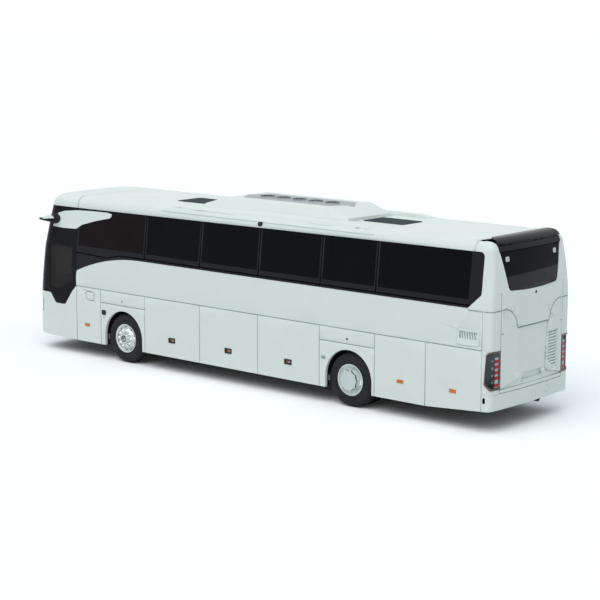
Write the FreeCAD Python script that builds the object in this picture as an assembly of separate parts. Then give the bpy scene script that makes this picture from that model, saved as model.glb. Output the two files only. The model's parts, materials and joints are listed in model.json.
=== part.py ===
"""Scale model of a two-axle touring coach, 1:87, built from its separate mouldings.

Frame: +X forward, +Y to the coach's left, +Z up, origin on the floor under the middle of
the body. Lengths are millimetres. Places along the body are measured ahead of the rear axle.
"""
import FreeCAD, Part
import math
import os
from FreeCAD import Vector

# Body
body_length = 140.26
body_width = 29.3
roof_z = 39.2
wheelbase = 70.0
rear_overhang = 37.5
wall = 1.5
belt_z = 26.0
tumble_angle = 6.3
side_round = 2.2
front_bow = 90.0
front_corner = 4.2
rear_bow = 150.0
rear_corner = 1.3
least_corner = 0.4
rake_start_z = 12.0
rake_depth = 4.55
rake_power_share = 1.5
brow_round = 3.0
brow_angle = 13.5
tail_depth = 1.5
tail_round = 2.4
skirt_z = 3.65
tail_skirt_z = 5.0
chin_run = 7.0
chin_rise = 0.9
fit_gap = 0.05
seat_gap = 0.02
groove_width = 0.2
groove_depth = 0.25
overrun = 3.0
close_share = 0.001
flank_shares = (0.0, 0.35, 0.7, 1.0)
round_steps = (0, 22, 45, 68, 90)
full_turn = 360

# Wheels and axles
tyre_radius = 6.0
tyre_width = 3.3
twin_gap = 0.35
twin_depth = 1.1
tyre_round = 0.9
shoulder_share = 0.3
bead_inset = 0.1
rim_radius = 3.5
rim_lip = 0.05
rim_wall = 0.2
wheel_inset = 0.7
disc_proud = 0.35
front_disc = 2.5
rear_disc = 1.9
front_well = 0.35
rear_well = 1.2
well_width = 0.35
hub_radius = 1.15
hub_reach = 0.3
nut_circle = 1.95
nut_radius = 0.2
nut_height = 0.2
nut_count = 10
cusp_count = 10
cusp_radius = 2.4
scallop_radius = 2.1
disc_height = 0.32
pin_radius = 0.6
pin_clearance = 0.06
saddle_length = 5.0
saddle_width = 2.2
saddle_height = 2.6
arch_radius = 6.45
arch_rise = 0.25
liner_wall = 0.6
tyre_clearance = 0.5

# Side windows
band_rear = -34.2
band_front = 86.75
band_low_z = 25.5
band_top_rear_z = 37.1
band_top_front_z = 36.4
band_corner = 1.0
band_cut_run = 3.2
band_cut_rise = 3.0
glass_inset = 0.1
glass_thickness = 0.7
pillar_width = 2.0
window_edge = 0.9
window_sill = 2.0
window_head = 0.2
sweep_bend = 75.2
sweep_step = 0.25
sweep_low_z = 21.0
sweep_foot_z = 19.4
sweep_round = 55.0
sweep_corner = 0.8
pane_joint = 0.26
pane_joint_depth = 0.3
sill_joint_z = 26.1
sill_dip_start = 71.0
sill_dip_end = 75.6
sill_dip_z = 25.15
sill_front_z = 25.55
sill_round = 7.0

# Lower side panels
seam_z = 17.2
bay_front = 62.6
bay_pitch = 18.15
bay_count = 3
wheel_panel = 15.3
rear_seam = -20.6
corner_seam = -34.8
corner_seam_top = -32.1
corner_seam_z = 25.2
mudguard_seam_z = 14.0
roof_seam = 0.3

# Front
mask_rear = 86.7
mask_top_z = 36.3
mask_foot_z = 12.1
mask_foot_rear = 90.9
mask_foot_front = 94.3
mask_knee_z = 15.6
mask_knee = 88.3
windscreen_low_z = 14.6
windscreen_half = 11.4
windscreen_rim = 0.7
driver_window_front = 96.2
driver_window_rear = 87.9
driver_window_top = 26.8
driver_window_low = 15.8
driver_window_step = 2.4
driver_window_step_run = 4.6
window_round = 0.5
blade_length = 21.3
blade_height = 4.95
blade_front = 95.4
blade_low_z = 31.1
blade_proud = 0.08
blade_round = 0.35
blade_upper_shares = ((0.0, 0.93), (0.1, 1.0), (0.33, 0.99), (0.59, 0.95), (0.81, 0.85), (0.92, 0.72))
blade_lower_shares = ((1.0, 0.03), (0.82, 0.0), (0.6, 0.03), (0.5, 0.27), (0.25, 0.56), (0.05, 0.74))
corner_groove_y = 13.75
grille_top_z = 12.6
grille_low_z = 10.9
grille_half = 8.2
intake_top_z = 6.9
intake_low_z = 5.2
intake_half = 7.0
slat_gap = 0.3
headlamp_top_z = 12.8
headlamp_low_z = 9.4
headlamp_inner = 8.9
headlamp_outer = 14.45
headlamp_thickness = 0.6
plate_length = 6.0
plate_height = 1.3
plate_depth = 0.2
wiper_width = 0.35
wiper_arm = 8.5
wiper_hub = 5.7
wiper_proud = 0.1

# Doors on the right side
door_rear = 88.0
door_front = 97.4
door_low_z = 5.0
door_top_z = 33.6
door_frame = 0.8
mid_door_rear = 9.4
mid_door_front = 18.4
mid_window_low_z = 12.5

# Camera arms
arm_x = 94.6
arm_root_z = 33.2
arm_reach = 18.3
arm_root_chord = 3.1
arm_mid_chord = 2.7
arm_tip_chord = 1.5
arm_root_height = 2.0
arm_mid_height = 1.6
arm_tip_height = 0.6
arm_lift = 0.3
arm_sweep = 0.4
arm_pad_chord = 3.6
arm_pad_height = 2.5
arm_pad_proud = 0.18

# Rear
bumper_z = 8.05
rear_window_top = 36.9
rear_window_low = 28.4
rear_window_top_half = 11.0
rear_window_low_half = 8.9
rear_window_sag = 0.6
rear_window_round = 1.3
rear_window_bow = 90.0
shoulder_points = ((6.0, 21.4), (7.4, 24.15), (11.5, 25.2))
corner_line_y = 11.4
corner_line_top_z = 28.9
tick_run = 0.9
tick_z = 20.4
lid_step = 0.4
lid_slot = 0.35
lid_top_z = 21.24
lid_low_z = 8.8
lid_top_half = 6.0
lid_waist_half = 5.1
lid_foot_half = 11.6
lid_waist_z = 14.2
lid_waist_round = 40.0
lid_flare_z = 10.5
lid_flare_round = 1.1
lid_foot_edge = 0.35
recess_left = 3.9
recess_right = -4.2
recess_low_z = 9.8
recess_top_z = 11.2
recess_depth = 0.4
recess_slant = 1.0
recess_round = 0.35
louvre_inner = 5.6
louvre_outer = 9.6
louvre_top_z = 18.8
louvre_low_z = 10.7
louvre_cut_run = 1.9
louvre_cut_rise = 1.4
louvre_round = 0.3
louvre_count = 12
louvre_frame = 0.25
louvre_thickness = 0.5
spoiler_front = -33.0
spoiler_low_z = 37.0
spoiler_lip_z = 38.5
spoiler_half = 11.2
spoiler_round = 2.2
spoiler_proud = 0.55
spoiler_foot_proud = 0.15
tail_lamp_inner = 11.4
tail_lamp_front = -35.3
tail_lamp_lean = 0.45
tail_lamp_top_z = 17.1
tail_lamp_low_z = 9.0
tail_lamp_cut = 1.3
tail_lamp_bezel = 0.25
bezel_proud = 0.12
lamp_segment = 0.66
lamp_segment_pitch = 1.14
lamp_segment_low_z = 11.24
lamp_segment_count = 4
lamp_foot_segment_z = 9.75
lamp_strip_width = 1.1
lamp_strip_inset = 0.5
exhaust_radius = 0.75
exhaust_bore = 0.5
exhaust_length = 4.0
exhaust_inset = 2.4
exhaust_y = -6.0

# Roof
cowl_front = 50.0
cowl_rear = 6.0
cowl_top_z = 41.9
cowl_top_half = 7.4
cowl_foot_half = 10.6
cowl_front_run = 7.5
cowl_rear_run = 5.5
cowl_round = 1.1
fairing_front = 59.1
fairing_rear = -6.7
fairing_foot_half = 13.2
fairing_crest_half = 12.0
fairing_inner_half = 9.2
fairing_crest_z = 40.0
fairing_foot_z = 37.9
fairing_start_z = 39.15
fairing_peak = 28.0
fairing_run = 2.9
fairing_fall_share = 0.25
plate_front = 39.5
plate_rear = 13.5
plate_half = 5.1
plate_slant = 3.0
plate_sink = 0.4
roof_plate_thickness = 0.3
fan_radius = 1.7
fan_pitch = 4.85
fan_first = 36.3
fan_count = 5
fan_height = 0.3
fan_hub = 0.5
fan_ring = 0.22
fan_blade_count = 6
fan_blade_width = 0.32
front_hatch_front = 62.0
front_hatch_rear = 50.6
front_hatch_half = 4.0
rear_hatch_front = 5.2
rear_hatch_rear = -6.0
rear_hatch_half = 3.7
hatch_thickness = 0.4
hatch_proud = 0.12
hatch_round = 0.6
knob_at = 26.4
knob_z = 37.6
knob_radius = 0.5
knob_reach = 0.5

# Small side fittings
marker_length = 1.6
marker_height = 0.65
marker_proud = 0.12
marker_thickness = 0.4
marker_z = 7.85
marker_places = (82.8, -14.1, -27.65)
handle_length = 2.1
handle_height = 1.15
handle_frame = 0.28
handle_z = 7.7
flap_rear = 80.35
flap_length = 2.65
flap_low_z = 14.05
flap_height = 2.1
flap_round = 0.4
vent_front = -28.6
vent_length = 5.3
vent_low_z = 17.95
vent_height = 3.15
vent_frame = 0.4
vent_sill = 0.8
vent_fins = 7
vent_fin_lean = 0.3
vent_recess = 0.5
vent_corner = 0.35

# Chassis and inside
base_low_z = 4.7
base_thickness = 1.0
base_slot = 1.7
boss_radius = 2.2
boss_height = 4.0
screw_radius = 1.0
screw_front = 45.0
screw_rear = 18.0
floor_z = 15.2
floor_thickness = 0.9
floor_front = 84.0
floor_rear = -33.0
cab_floor_z = 9.6
cab_front = 97.5
seat_first = 80.0
seat_pitch = 9.2
seat_rows = 12
seat_depth = 5.0
seat_height = 5.0
seat_cushion = 1.3
seat_back_height = 12.6
seat_back = 1.4
seat_lean = 1.5
seat_edge = 0.43
seat_crease = 0.33
seat_crown = 0.47
seat_width = 4.9
seat_gap_middle = 0.35
aisle_half = 1.9
driver_seat_at = 85.0
driver_seat_y = 6.6
driver_seat_width = 5.4
dash_front = 98.0
dash_depth = 5.0
dash_height = 7.4
dash_half = 11.6
dash_top_run = 2.2
steering_radius = 2.7
steering_rim = 0.28
steering_angle = 32.0
steering_column = 3.2
spoke_count = 3

# Stations and levels that follow from the sizes above
rear_axle_x = rear_overhang - body_length / 2
front_axle_x = rear_axle_x + wheelbase
nose_x = body_length / 2
half_width = body_width / 2
wheel_face_y = half_width - wheel_inset
base_top_z = base_low_z + base_thickness
twin_width = 2 * tyre_width + twin_gap
saddle_y = wheel_face_y - twin_width - tyre_clearance - liner_wall - 2 * fit_gap
outside = half_width + overrun
behind = -nose_x - overrun
top_limit = roof_z + overrun
low_limit = skirt_z - overrun
dust_volume = groove_width ** 3
bay_joints = [bay_front - bay_pitch * index for index in range(bay_count + 1)]
rear_wheel_seam = bay_joints[-1] - wheel_panel
grille_size = (grille_half, grille_low_z, grille_top_z)
intake_size = (intake_half, intake_low_z, intake_top_z)
seat_radii = [0, 0, 0, seat_edge, seat_crease, seat_crown, seat_crown, 0, 0]
quarter_turn = full_turn / 4
form_cache = {}
layer_cache = {}


def at(ahead):
    """X of a place that lies this far ahead of the rear axle."""
    return rear_axle_x + ahead


def band_top(x):
    """Height of the windows' straight upper edge at x."""
    share = (x - at(band_rear)) / (band_front - band_rear)
    return band_top_rear_z + share * (band_top_front_z - band_top_rear_z)


# Outer form
def side_line(z):
    """Half width of the body at height z, before the roof's rounding."""
    return half_width - max(0, z - belt_z) * math.tan(math.radians(tumble_angle))


def front_line(z):
    """Reach of the nose at height z, raked back towards the roof."""
    share = max(0, z - rake_start_z) / (roof_z - rake_start_z)
    return nose_x - rake_depth * share ** rake_power_share


def tail_line(z):
    """Reach of the tail at height z, leaning forward at its top."""
    share = max(0, z - belt_z) / (roof_z - belt_z)
    return nose_x - tail_depth * share * share


def reach(z, inset, line, lean, radius):
    """Reach of one side of the form at height z, with its rounding into the roof."""
    centre_z = roof_z - radius
    tangent_z = centre_z + radius * math.sin(lean)
    if z <= centre_z + (radius - inset) * math.sin(lean):
        return line(z) - inset
    centre = line(tangent_z) - radius * math.cos(lean)
    return centre + math.sqrt(max(0, (radius - inset) ** 2 - (z - centre_z) ** 2))


def end_points(tip, side, bow, corner, inset):
    """Points of one bowed end: where the corner leaves the side, its middle and its end."""
    bow_radius = bow - inset
    radius = max(corner - inset, least_corner)
    bow_centre = tip - bow_radius
    centre_x = bow_centre + math.sqrt((bow_radius - radius) ** 2 - (side - radius) ** 2)
    out = Vector(centre_x - bow_centre, side - radius, 0)
    out.normalize()
    mid = out + Vector(0, 1, 0)
    mid.normalize()
    leave = (centre_x, side)
    middle = (centre_x + radius * mid.x, side - radius + radius * mid.y)
    meet = (bow_centre + bow_radius * out.x, bow_radius * out.y)
    return leave, middle, meet


def plan_wire(z, inset):
    """Plan outline of the body at height z, offset inwards by inset."""
    side = reach(z, inset, side_line, math.radians(tumble_angle), side_round)
    nose = reach(z, inset, front_line, math.radians(brow_angle), brow_round)
    tail = reach(z, inset, tail_line, 0, tail_round)
    f_side, f_mid, f_face = end_points(nose, side, front_bow, front_corner, inset)
    r_side, r_mid, r_face = end_points(tail, side, rear_bow, rear_corner, inset)

    def p(x, y):
        return Vector(x, y, z)

    return Part.Wire([
        Part.LineSegment(p(-r_side[0], r_side[1]), p(*f_side)).toShape(),
        Part.Arc(p(*f_side), p(*f_mid), p(*f_face)).toShape(),
        Part.Arc(p(*f_face), p(nose, 0), p(f_face[0], -f_face[1])).toShape(),
        Part.Arc(p(f_face[0], -f_face[1]), p(f_mid[0], -f_mid[1]), p(f_side[0], -f_side[1])).toShape(),
        Part.LineSegment(p(f_side[0], -f_side[1]), p(-r_side[0], -r_side[1])).toShape(),
        Part.Arc(p(-r_side[0], -r_side[1]), p(-r_mid[0], -r_mid[1]), p(-r_face[0], -r_face[1])).toShape(),
        Part.Arc(p(-r_face[0], -r_face[1]), p(-tail, 0), p(-r_face[0], r_face[1])).toShape(),
        Part.Arc(p(-r_face[0], r_face[1]), p(-r_mid[0], r_mid[1]), p(-r_side[0], r_side[1])).toShape()])


def band_of_form(levels, inset):
    """Solid stretch of the body form through plan outlines at these levels."""
    return Part.makeLoft([plan_wire(z, inset) for z in levels], True, False)


def form(inset):
    """Closed body form, offset inwards by inset, from below the skirt to the roof."""
    if inset not in form_cache:
        centre_z = roof_z - side_round
        rise = side_round - inset
        crown = [centre_z + rise * math.sin(math.radians(step)) for step in round_steps]
        front = [rake_start_z + share * (belt_z - rake_start_z) for share in flank_shares]
        flank = [belt_z + share * (centre_z - belt_z) for share in flank_shares]
        bands = [band_of_form(levels, inset) for levels in ((low_limit, rake_start_z), front, flank, crown)]
        form_cache[inset] = bands[0].fuse(bands[1:])
    return form_cache[inset]


def layer(outer, inner):
    """Shell between two offsets of the body form."""
    if (outer, inner) not in layer_cache:
        layer_cache[(outer, inner)] = form(outer).cut(form(inner))
    return layer_cache[(outer, inner)]


# Outlines and solids
def rounded_wire(points, radii, lift):
    """Closed wire through 2D points, each corner rounded by its radius, lifted into 3D."""
    flat = [Vector(u, v, 0) for u, v in points]
    count = len(flat)
    edges = []
    ends = []
    for index, here in enumerate(flat):
        radius = radii[index]
        if not radius:
            ends.append((here, here, here, radius))
            continue
        back = flat[index - 1] - here
        ahead = flat[(index + 1) % count] - here
        back.normalize()
        ahead.normalize()
        turn = back.getAngle(ahead)
        run = radius / math.tan(turn / 2)
        middle = back + ahead
        middle.normalize()
        crown = here + middle * (radius / math.sin(turn / 2) - radius)
        ends.append((here + back * run, crown, here + ahead * run, radius))
    for index, (start, crown, end, radius) in enumerate(ends):
        if radius:
            edges.append(Part.Arc(lift(start), lift(crown), lift(end)).toShape())
        following = ends[(index + 1) % count][0]
        if end.distanceToPoint(following) > groove_width * close_share:
            edges.append(Part.LineSegment(lift(end), lift(following)).toShape())
    return Part.Wire(edges)


def side_prism(points, low_y, high_y, radii=None):
    """Solid from a side outline of (x, z) points, between two values of y."""
    radii = radii or [0] * len(points)
    wire = rounded_wire(points, radii, lambda v: Vector(v.x, low_y, v.y))
    return Part.Face(wire).extrude(Vector(0, high_y - low_y, 0))


def end_prism(points, low_x, high_x, radii=None):
    """Solid from an end outline of (y, z) points, between two values of x."""
    radii = radii or [0] * len(points)
    wire = rounded_wire(points, radii, lambda v: Vector(low_x, v.x, v.y))
    return Part.Face(wire).extrude(Vector(high_x - low_x, 0, 0))


def top_prism(points, low_z, high_z, radii=None):
    """Solid from a plan outline of (x, y) points, between two values of z."""
    radii = radii or [0] * len(points)
    wire = rounded_wire(points, radii, lambda v: Vector(v.x, v.y, low_z))
    return Part.Face(wire).extrude(Vector(0, 0, high_z - low_z))


def block(low, high):
    """Box between two opposite corners."""
    size = [b - a for a, b in zip(low, high)]
    return Part.makeBox(size[0], size[1], size[2], Vector(*low))


def mirrored(shape):
    """Copy of a shape on the other side of the coach."""
    return shape.mirror(Vector(0, 0, 0), Vector(0, 1, 0))


def both_sides(shape):
    """The shape and its mirror copy."""
    return [shape, mirrored(shape)]


def fused(shapes):
    """One shape from several that meet or cross."""
    result = shapes[0]
    if len(shapes) > 1:
        result = result.fuse(shapes[1:])
    return result


def rectangle(low_u, high_u, low_v, high_v):
    """Corner points of an upright rectangle."""
    return [(low_u, low_v), (high_u, low_v), (high_u, high_v), (low_u, high_v)]


def grown(points, margin):
    """Outline points pushed outwards from their middle by a margin."""
    mid_u = sum(u for u, v in points) / len(points)
    mid_v = sum(v for u, v in points) / len(points)
    return [
        (u + margin * math.copysign(1, u - mid_u), v + margin * math.copysign(1, v - mid_v))
        for u, v in points]


def save(name, shapes):
    """Write the solids of one node as a STEP file."""
    solids = []
    for shape in shapes:
        solids += shape.Solids
    solids = [solid for solid in solids if solid.Volume > dust_volume]
    result = solids[0] if len(solids) == 1 else Part.Compound(solids)
    result.exportStep("parts/" + name + ".step")


# Outlines of the body's openings
def band_outline(margin=0):
    """Side outline of the window band behind the front mask, grown by a margin."""
    rear = at(band_rear) - margin
    front = at(band_front) - fit_gap
    low = band_low_z - margin
    points = [
        (rear + band_cut_run, low),
        (at(sweep_bend), low),
        (front - sweep_step, sweep_low_z - margin),
        (front, sweep_foot_z - margin),
        (front, band_top(front) + margin),
        (rear, band_top(rear) + margin),
        (rear, low + band_cut_rise)]
    radii = [sweep_corner, sweep_round, sweep_corner, 0, 0, band_corner, band_corner]
    return points, radii


def mask_outline(margin=0):
    """Side outline of the black front mask, open towards the nose."""
    rear = at(mask_rear) - margin
    front = -behind
    points = [
        (rear, seam_z),
        (at(mask_knee) - margin, mask_knee_z),
        (at(mask_foot_rear) - margin, mask_foot_z - margin),
        (at(mask_foot_front) + margin, mask_foot_z - margin),
        (at(driver_window_front) + margin, windscreen_low_z - margin),
        (front, windscreen_low_z - margin),
        (front, band_top(at(mask_rear)) + margin),
        (rear, band_top(at(mask_rear)) + margin)]
    radii = [0, groove_width, band_corner, band_corner, band_corner, 0, 0, 0]
    return points, radii


def rear_outline(margin=0):
    """Side outline of the rear end, from its corner seams backwards."""
    seam = at(corner_seam) + margin
    return [
        (behind, low_limit),
        (seam, low_limit),
        (seam, corner_seam_z - margin),
        (at(band_rear) + band_cut_run + margin, corner_seam_z - margin),
        (at(corner_seam_top) + margin, top_limit),
        (behind, top_limit)]


def rear_window_outline(margin=0):
    """End outline of the rear window, wider at its top."""
    top = rear_window_top + margin
    low = rear_window_low + rear_window_sag - margin
    wide = rear_window_top_half + margin
    narrow = rear_window_low_half + margin
    points = [(-wide, top), (-narrow, low), (0, low - rear_window_sag), (narrow, low), (wide, top)]
    return points, [0, rear_window_round, rear_window_bow, rear_window_round, 0]


def lid_outline(margin=0):
    """End outline of the sunk engine lid: straight top, waist and flared foot."""
    waist = lid_waist_half + margin
    foot = lid_foot_half + margin
    left = [
        (lid_top_half + margin, lid_top_z + margin),
        (waist, lid_waist_z),
        (waist, lid_flare_z + margin),
        (foot, lid_low_z + lid_foot_edge + margin),
        (foot, lid_low_z - margin)]
    radii = [0, lid_waist_round, lid_flare_round, 0, 0]
    return left + [(-y, z) for y, z in reversed(left)], radii + radii[::-1]


def lamp_outline(margin=0):
    """Side outline of a tail lamp, with cut corners and a leaning front edge."""
    front = at(tail_lamp_front) + margin
    return [
        (front, tail_lamp_low_z + tail_lamp_cut),
        (front - tail_lamp_cut, tail_lamp_low_z - margin),
        (behind, tail_lamp_low_z - margin),
        (behind, tail_lamp_top_z + margin),
        (front - tail_lamp_cut, tail_lamp_top_z + margin),
        (front - tail_lamp_lean, tail_lamp_top_z - tail_lamp_cut / 2)]


def lamp_zone(side, margin):
    """Block of one tail lamp, round the corner to its inner edge."""
    return side_prism(lamp_outline(margin), side * (tail_lamp_inner - margin), side * outside)


def spoiler_zone(margin=0):
    """Zone of the roof's rear edge under the spoiler, its front corners rounded."""
    points = rectangle(behind, at(spoiler_front) + margin, -spoiler_half - margin, spoiler_half + margin)
    return top_prism(points, spoiler_low_z - margin, top_limit, [0, spoiler_round, spoiler_round, 0])


def skirt_cut():
    """Everything below the skirt: level, rising at the tail and under the chin."""
    points = [
        (behind, low_limit - overrun),
        (-behind, low_limit - overrun),
        (-behind, skirt_z + chin_rise),
        (nose_x - chin_run, skirt_z),
        (at(rear_seam), skirt_z),
        (behind, tail_skirt_z)]
    return side_prism(points, -outside, outside)


def arch_cut(axle_x):
    """Wheel arch through both sides of the body."""
    centre = Vector(axle_x, -outside, tyre_radius + arch_rise)
    tunnel = Part.makeCylinder(arch_radius, 2 * outside, centre, Vector(0, 1, 0))
    low = (axle_x - arch_radius, -outside, low_limit - overrun)
    high = (axle_x + arch_radius, outside, tyre_radius + arch_rise)
    return tunnel.fuse(block(low, high))


# Body panels
def door_outlines(margin=0):
    """Side outlines of the front and middle doors, which are on the right side only."""
    front = rectangle(at(door_rear), at(door_front), door_low_z, door_top_z)
    middle = rectangle(at(mid_door_rear), at(mid_door_front), door_low_z, band_low_z - door_frame)
    return grown(front, margin), grown(middle, margin)


def door_cut(outline):
    """Opening of one door through the right side."""
    return side_prism(outline, -outside, 0)


def side_grooves():
    """Panel joints engraved into both sides and over the roof edge."""
    half = groove_width / 2
    wheel_front = bay_front + wheel_panel
    spans = [(at(joint) - half, at(joint) + half) for joint in
             bay_joints + [wheel_front, rear_wheel_seam, rear_seam]]
    spans.append((at(mask_rear) - groove_width, at(mask_rear) + half))
    zones = [rectangle(low, high, low_limit, seam_z + half) for low, high in spans]
    zones.append(rectangle(at(corner_seam), at(mask_rear), seam_z - half, seam_z + half))
    level = (mudguard_seam_z - half, mudguard_seam_z + half)
    zones.append(rectangle(at(bay_front), at(wheel_front), *level))
    zones.append(rectangle(at(rear_wheel_seam), at(bay_joints[-1]), *level))
    zones += corner_joints()
    prisms = [side_prism(zone, -outside, outside) for zone in zones]
    return layer(-groove_depth, groove_depth).common(fused(prisms + [flap_ring()]))


def corner_joints():
    """Side outlines of the joints along the rear corner pieces and behind the front cap."""
    half = groove_width / 2
    corner = at(corner_seam)
    pillar = at(band_rear) + band_cut_run
    lean = (pillar - at(corner_seam_top)) / (top_limit - corner_seam_z)
    top_x = pillar - lean * (band_top_rear_z - corner_seam_z)
    cap = at(mask_rear)
    return [
        rectangle(corner - half, corner + groove_width, low_limit, corner_seam_z + half),
        rectangle(corner - half, pillar, corner_seam_z - groove_width, corner_seam_z + half),
        [(top_x - half, band_top_rear_z), (top_x + roof_seam, band_top_rear_z),
         (at(corner_seam_top) + roof_seam, top_limit), (at(corner_seam_top) - half, top_limit)],
        rectangle(cap - half, cap + half, band_top(cap) - half, top_limit)]


def flap_ring():
    """Joint round the small filler flap, with rounded corners."""
    half = groove_width / 2
    flap = rectangle(at(flap_rear), at(flap_rear) + flap_length, flap_low_z, flap_low_z + flap_height)
    outer = side_prism(grown(flap, half), -outside, outside, [flap_round + half] * 4)
    return outer.cut(side_prism(grown(flap, -half), -outside, outside, [flap_round - half] * 4))


def vent_zone(margin=0):
    """Side outline of the vent near the tail."""
    zone = rectangle(at(vent_front) - vent_length, at(vent_front), vent_low_z, vent_low_z + vent_height)
    return grown(zone, margin)


def hatch_zone(front, rear, half, margin=0):
    """Plan outline of a roof hatch."""
    return grown(rectangle(at(rear), at(front), -half, half), margin)


def window_holes():
    """Holes through the wall behind the panes, leaving a pillar at each pane joint."""
    joints = [at(joint) for joint in bay_joints + [rear_wheel_seam]]
    fronts = [at(band_front) - window_edge] + [x - pillar_width / 2 for x in joints]
    rears = [x + pillar_width / 2 for x in joints] + [at(band_rear) + band_cut_run]
    holes = []
    for front, rear in zip(fronts, rears):
        points = [
            (rear, band_low_z + window_sill),
            (front, band_low_z + window_sill),
            (front, band_top(front) - window_head),
            (rear, band_top(rear) - window_head)]
        holes.append(side_prism(points, -outside, outside, [window_round] * 4))
    return holes


def body_openings():
    """Cutters for everything that another piece fills."""
    band, band_radii = band_outline()
    rebate = layer(-groove_depth, glass_inset + glass_thickness + seat_gap)
    mask, mask_radii = mask_outline()
    half = roof_z - wall - overrun
    cuts = [
        rebate.common(side_prism(band, -outside, outside, band_radii)),
        side_prism(mask, -outside, outside, mask_radii),
        side_prism(rear_outline(), -outside, outside),
        skirt_cut(),
        arch_cut(front_axle_x),
        arch_cut(rear_axle_x)]
    cuts += window_holes()
    sunk = layer(-groove_depth, vent_recess)
    cuts.append(sunk.common(side_prism(vent_zone(), -outside, outside, [vent_corner] * 4)))
    hatches = layer(-groove_depth, hatch_thickness)
    for front, rear, width in (
            (front_hatch_front, front_hatch_rear, front_hatch_half),
            (rear_hatch_front, rear_hatch_rear, rear_hatch_half)):
        zone = top_prism(hatch_zone(front, rear, width), half, top_limit, [hatch_round] * 4)
        cuts.append(hatches.common(zone))
    return cuts


def make_body_shell(skin):
    """White sides and roof, from the front mask to the rear corner seams."""
    shell = skin.cut(body_openings())
    front = rectangle(at(mask_rear), -behind, low_limit, seam_z)
    shell = shell.cut(side_prism(front, -outside, outside))
    shell = shell.cut([door_cut(door_outlines()[1]), side_grooves(), handle_pockets(), marker_pockets()])
    save("body_shell", [shell])


def make_front_bumper(skin):
    """White lower front panel with its grille, intake and lamp openings."""
    zone = rectangle(at(mask_rear) + fit_gap, -behind, low_limit, seam_z)
    mask, mask_radii = mask_outline(fit_gap)
    panel = skin.common(side_prism(zone, -outside, outside))
    cuts = [side_prism(mask, -outside, outside, mask_radii), skirt_cut()]
    cuts.append(door_cut(door_outlines(fit_gap)[0]))
    cuts += [front_opening(*grille_size), front_opening(*intake_size), plate_recess()]
    cuts += both_sides(headlamp_zone(0))
    save("front_bumper", [panel.cut(front_grooves()).cut(cuts)])


def front_grooves():
    """Upright joints at both corners of the lower front panel."""
    half = groove_width / 2
    outline = rectangle(corner_groove_y - half, corner_groove_y + half, low_limit, seam_z)
    joints = both_sides(end_prism(outline, at(door_front), -behind))
    return layer(-groove_depth, groove_depth).common(fused(joints))


def front_opening(half, low, top, margin=0):
    """Cutter for one long opening across the front."""
    outline = grown(rectangle(-half, half, low, top), margin)
    return end_prism(outline, nose_x - front_corner, -behind)


def plate_recess():
    """Shallow recess for the blank number plate at the front."""
    middle = (grille_low_z + intake_top_z) / 2
    half = plate_length / 2
    rise = plate_height / 2
    outline = rectangle(-half, half, middle - rise, middle + rise)
    return layer(-plate_depth, plate_depth).common(end_prism(outline, 0, -behind))


def headlamp_zone(margin):
    """Cutter for the left headlamp, wrapped round the corner."""
    top = headlamp_top_z + margin
    low = headlamp_low_z - margin
    points = [
        (headlamp_inner - margin, low + plate_height),
        (headlamp_outer + margin, low),
        (headlamp_outer + margin, top),
        (headlamp_inner - margin, top)]
    return end_prism(points, nose_x - front_corner, -behind)


def make_headlamps():
    """Clear corner lamps."""
    lamp = layer(glass_inset, glass_inset + headlamp_thickness).common(headlamp_zone(-fit_gap))
    save("headlamps", both_sides(lamp))


def slats(half, low, top, pitch, frame):
    """Frame and level slats for an opening across the front."""
    whole = front_opening(half, low, top, -fit_gap)
    inner = front_opening(half, low, top, -fit_gap - frame)
    count = int((top - low - 2 * frame) / pitch)
    step = (top - low) / (count + 1)
    bars = []
    for index in range(count):
        z = low + step * (index + 1)
        bars.append(front_opening(half, z - frame / 2, z + frame / 2))
    return whole.cut(inner).fuse([bar.common(whole) for bar in bars])


def make_front_grilles():
    """Slatted black grille between the lamps and the lower intake."""
    sheet = layer(glass_inset, wall)
    upper = slats(grille_half, grille_low_z, grille_top_z, 2 * slat_gap, slat_gap)
    lower = slats(intake_half, intake_low_z, intake_top_z, 2 * slat_gap, slat_gap)
    save("front_grilles", [sheet.common(upper), sheet.common(lower)])


def windscreen_zone(margin=0):
    """Cutter for the windscreen."""
    low = windscreen_low_z + windscreen_rim
    outline = rectangle(-windscreen_half, windscreen_half, low, mask_top_z - windscreen_rim)
    return end_prism(grown(outline, margin), 0, -behind, [window_round] * 4)


def driver_window_zone(margin=0):
    """Cutter for the driver's window on the left side."""
    rear = at(driver_window_rear) - margin
    front = at(driver_window_front) + margin
    points = [
        (rear, driver_window_low + driver_window_step),
        (rear + driver_window_step_run, driver_window_low - margin),
        (front, driver_window_low - margin),
        (front, driver_window_top + margin),
        (rear, driver_window_top + margin)]
    return side_prism(points, 0, outside, [window_round] * 5)


def make_front_mask(skin):
    """Gloss black surround of the windscreen, driver's window and front door."""
    mask, mask_radii = mask_outline()
    frame = skin.common(side_prism(mask, -outside, outside, mask_radii))
    cuts = [windscreen_zone(), driver_window_zone(), door_cut(door_outlines(fit_gap)[0])]
    save("front_mask", [frame.cut(cuts)])


def make_front_glass():
    """Windscreen and driver's window, each its own moulding."""
    sheet = layer(glass_inset, glass_inset + glass_thickness)
    save("windscreen", [sheet.common(windscreen_zone(-fit_gap))])
    save("driver_window", [sheet.common(driver_window_zone(-fit_gap))])


def pane_joints():
    """Grooves between the panes and along the sill."""
    half = pane_joint / 2
    joints = [at(joint) for joint in bay_joints + [rear_wheel_seam]]
    zones = [rectangle(x - half, x + half, band_low_z, roof_z) for x in joints]
    prisms = [side_prism(zone, -outside, outside) for zone in zones]
    depth = glass_inset + pane_joint_depth
    return layer(-groove_depth, depth).common(fused(prisms + [sill_joint()]))


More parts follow.
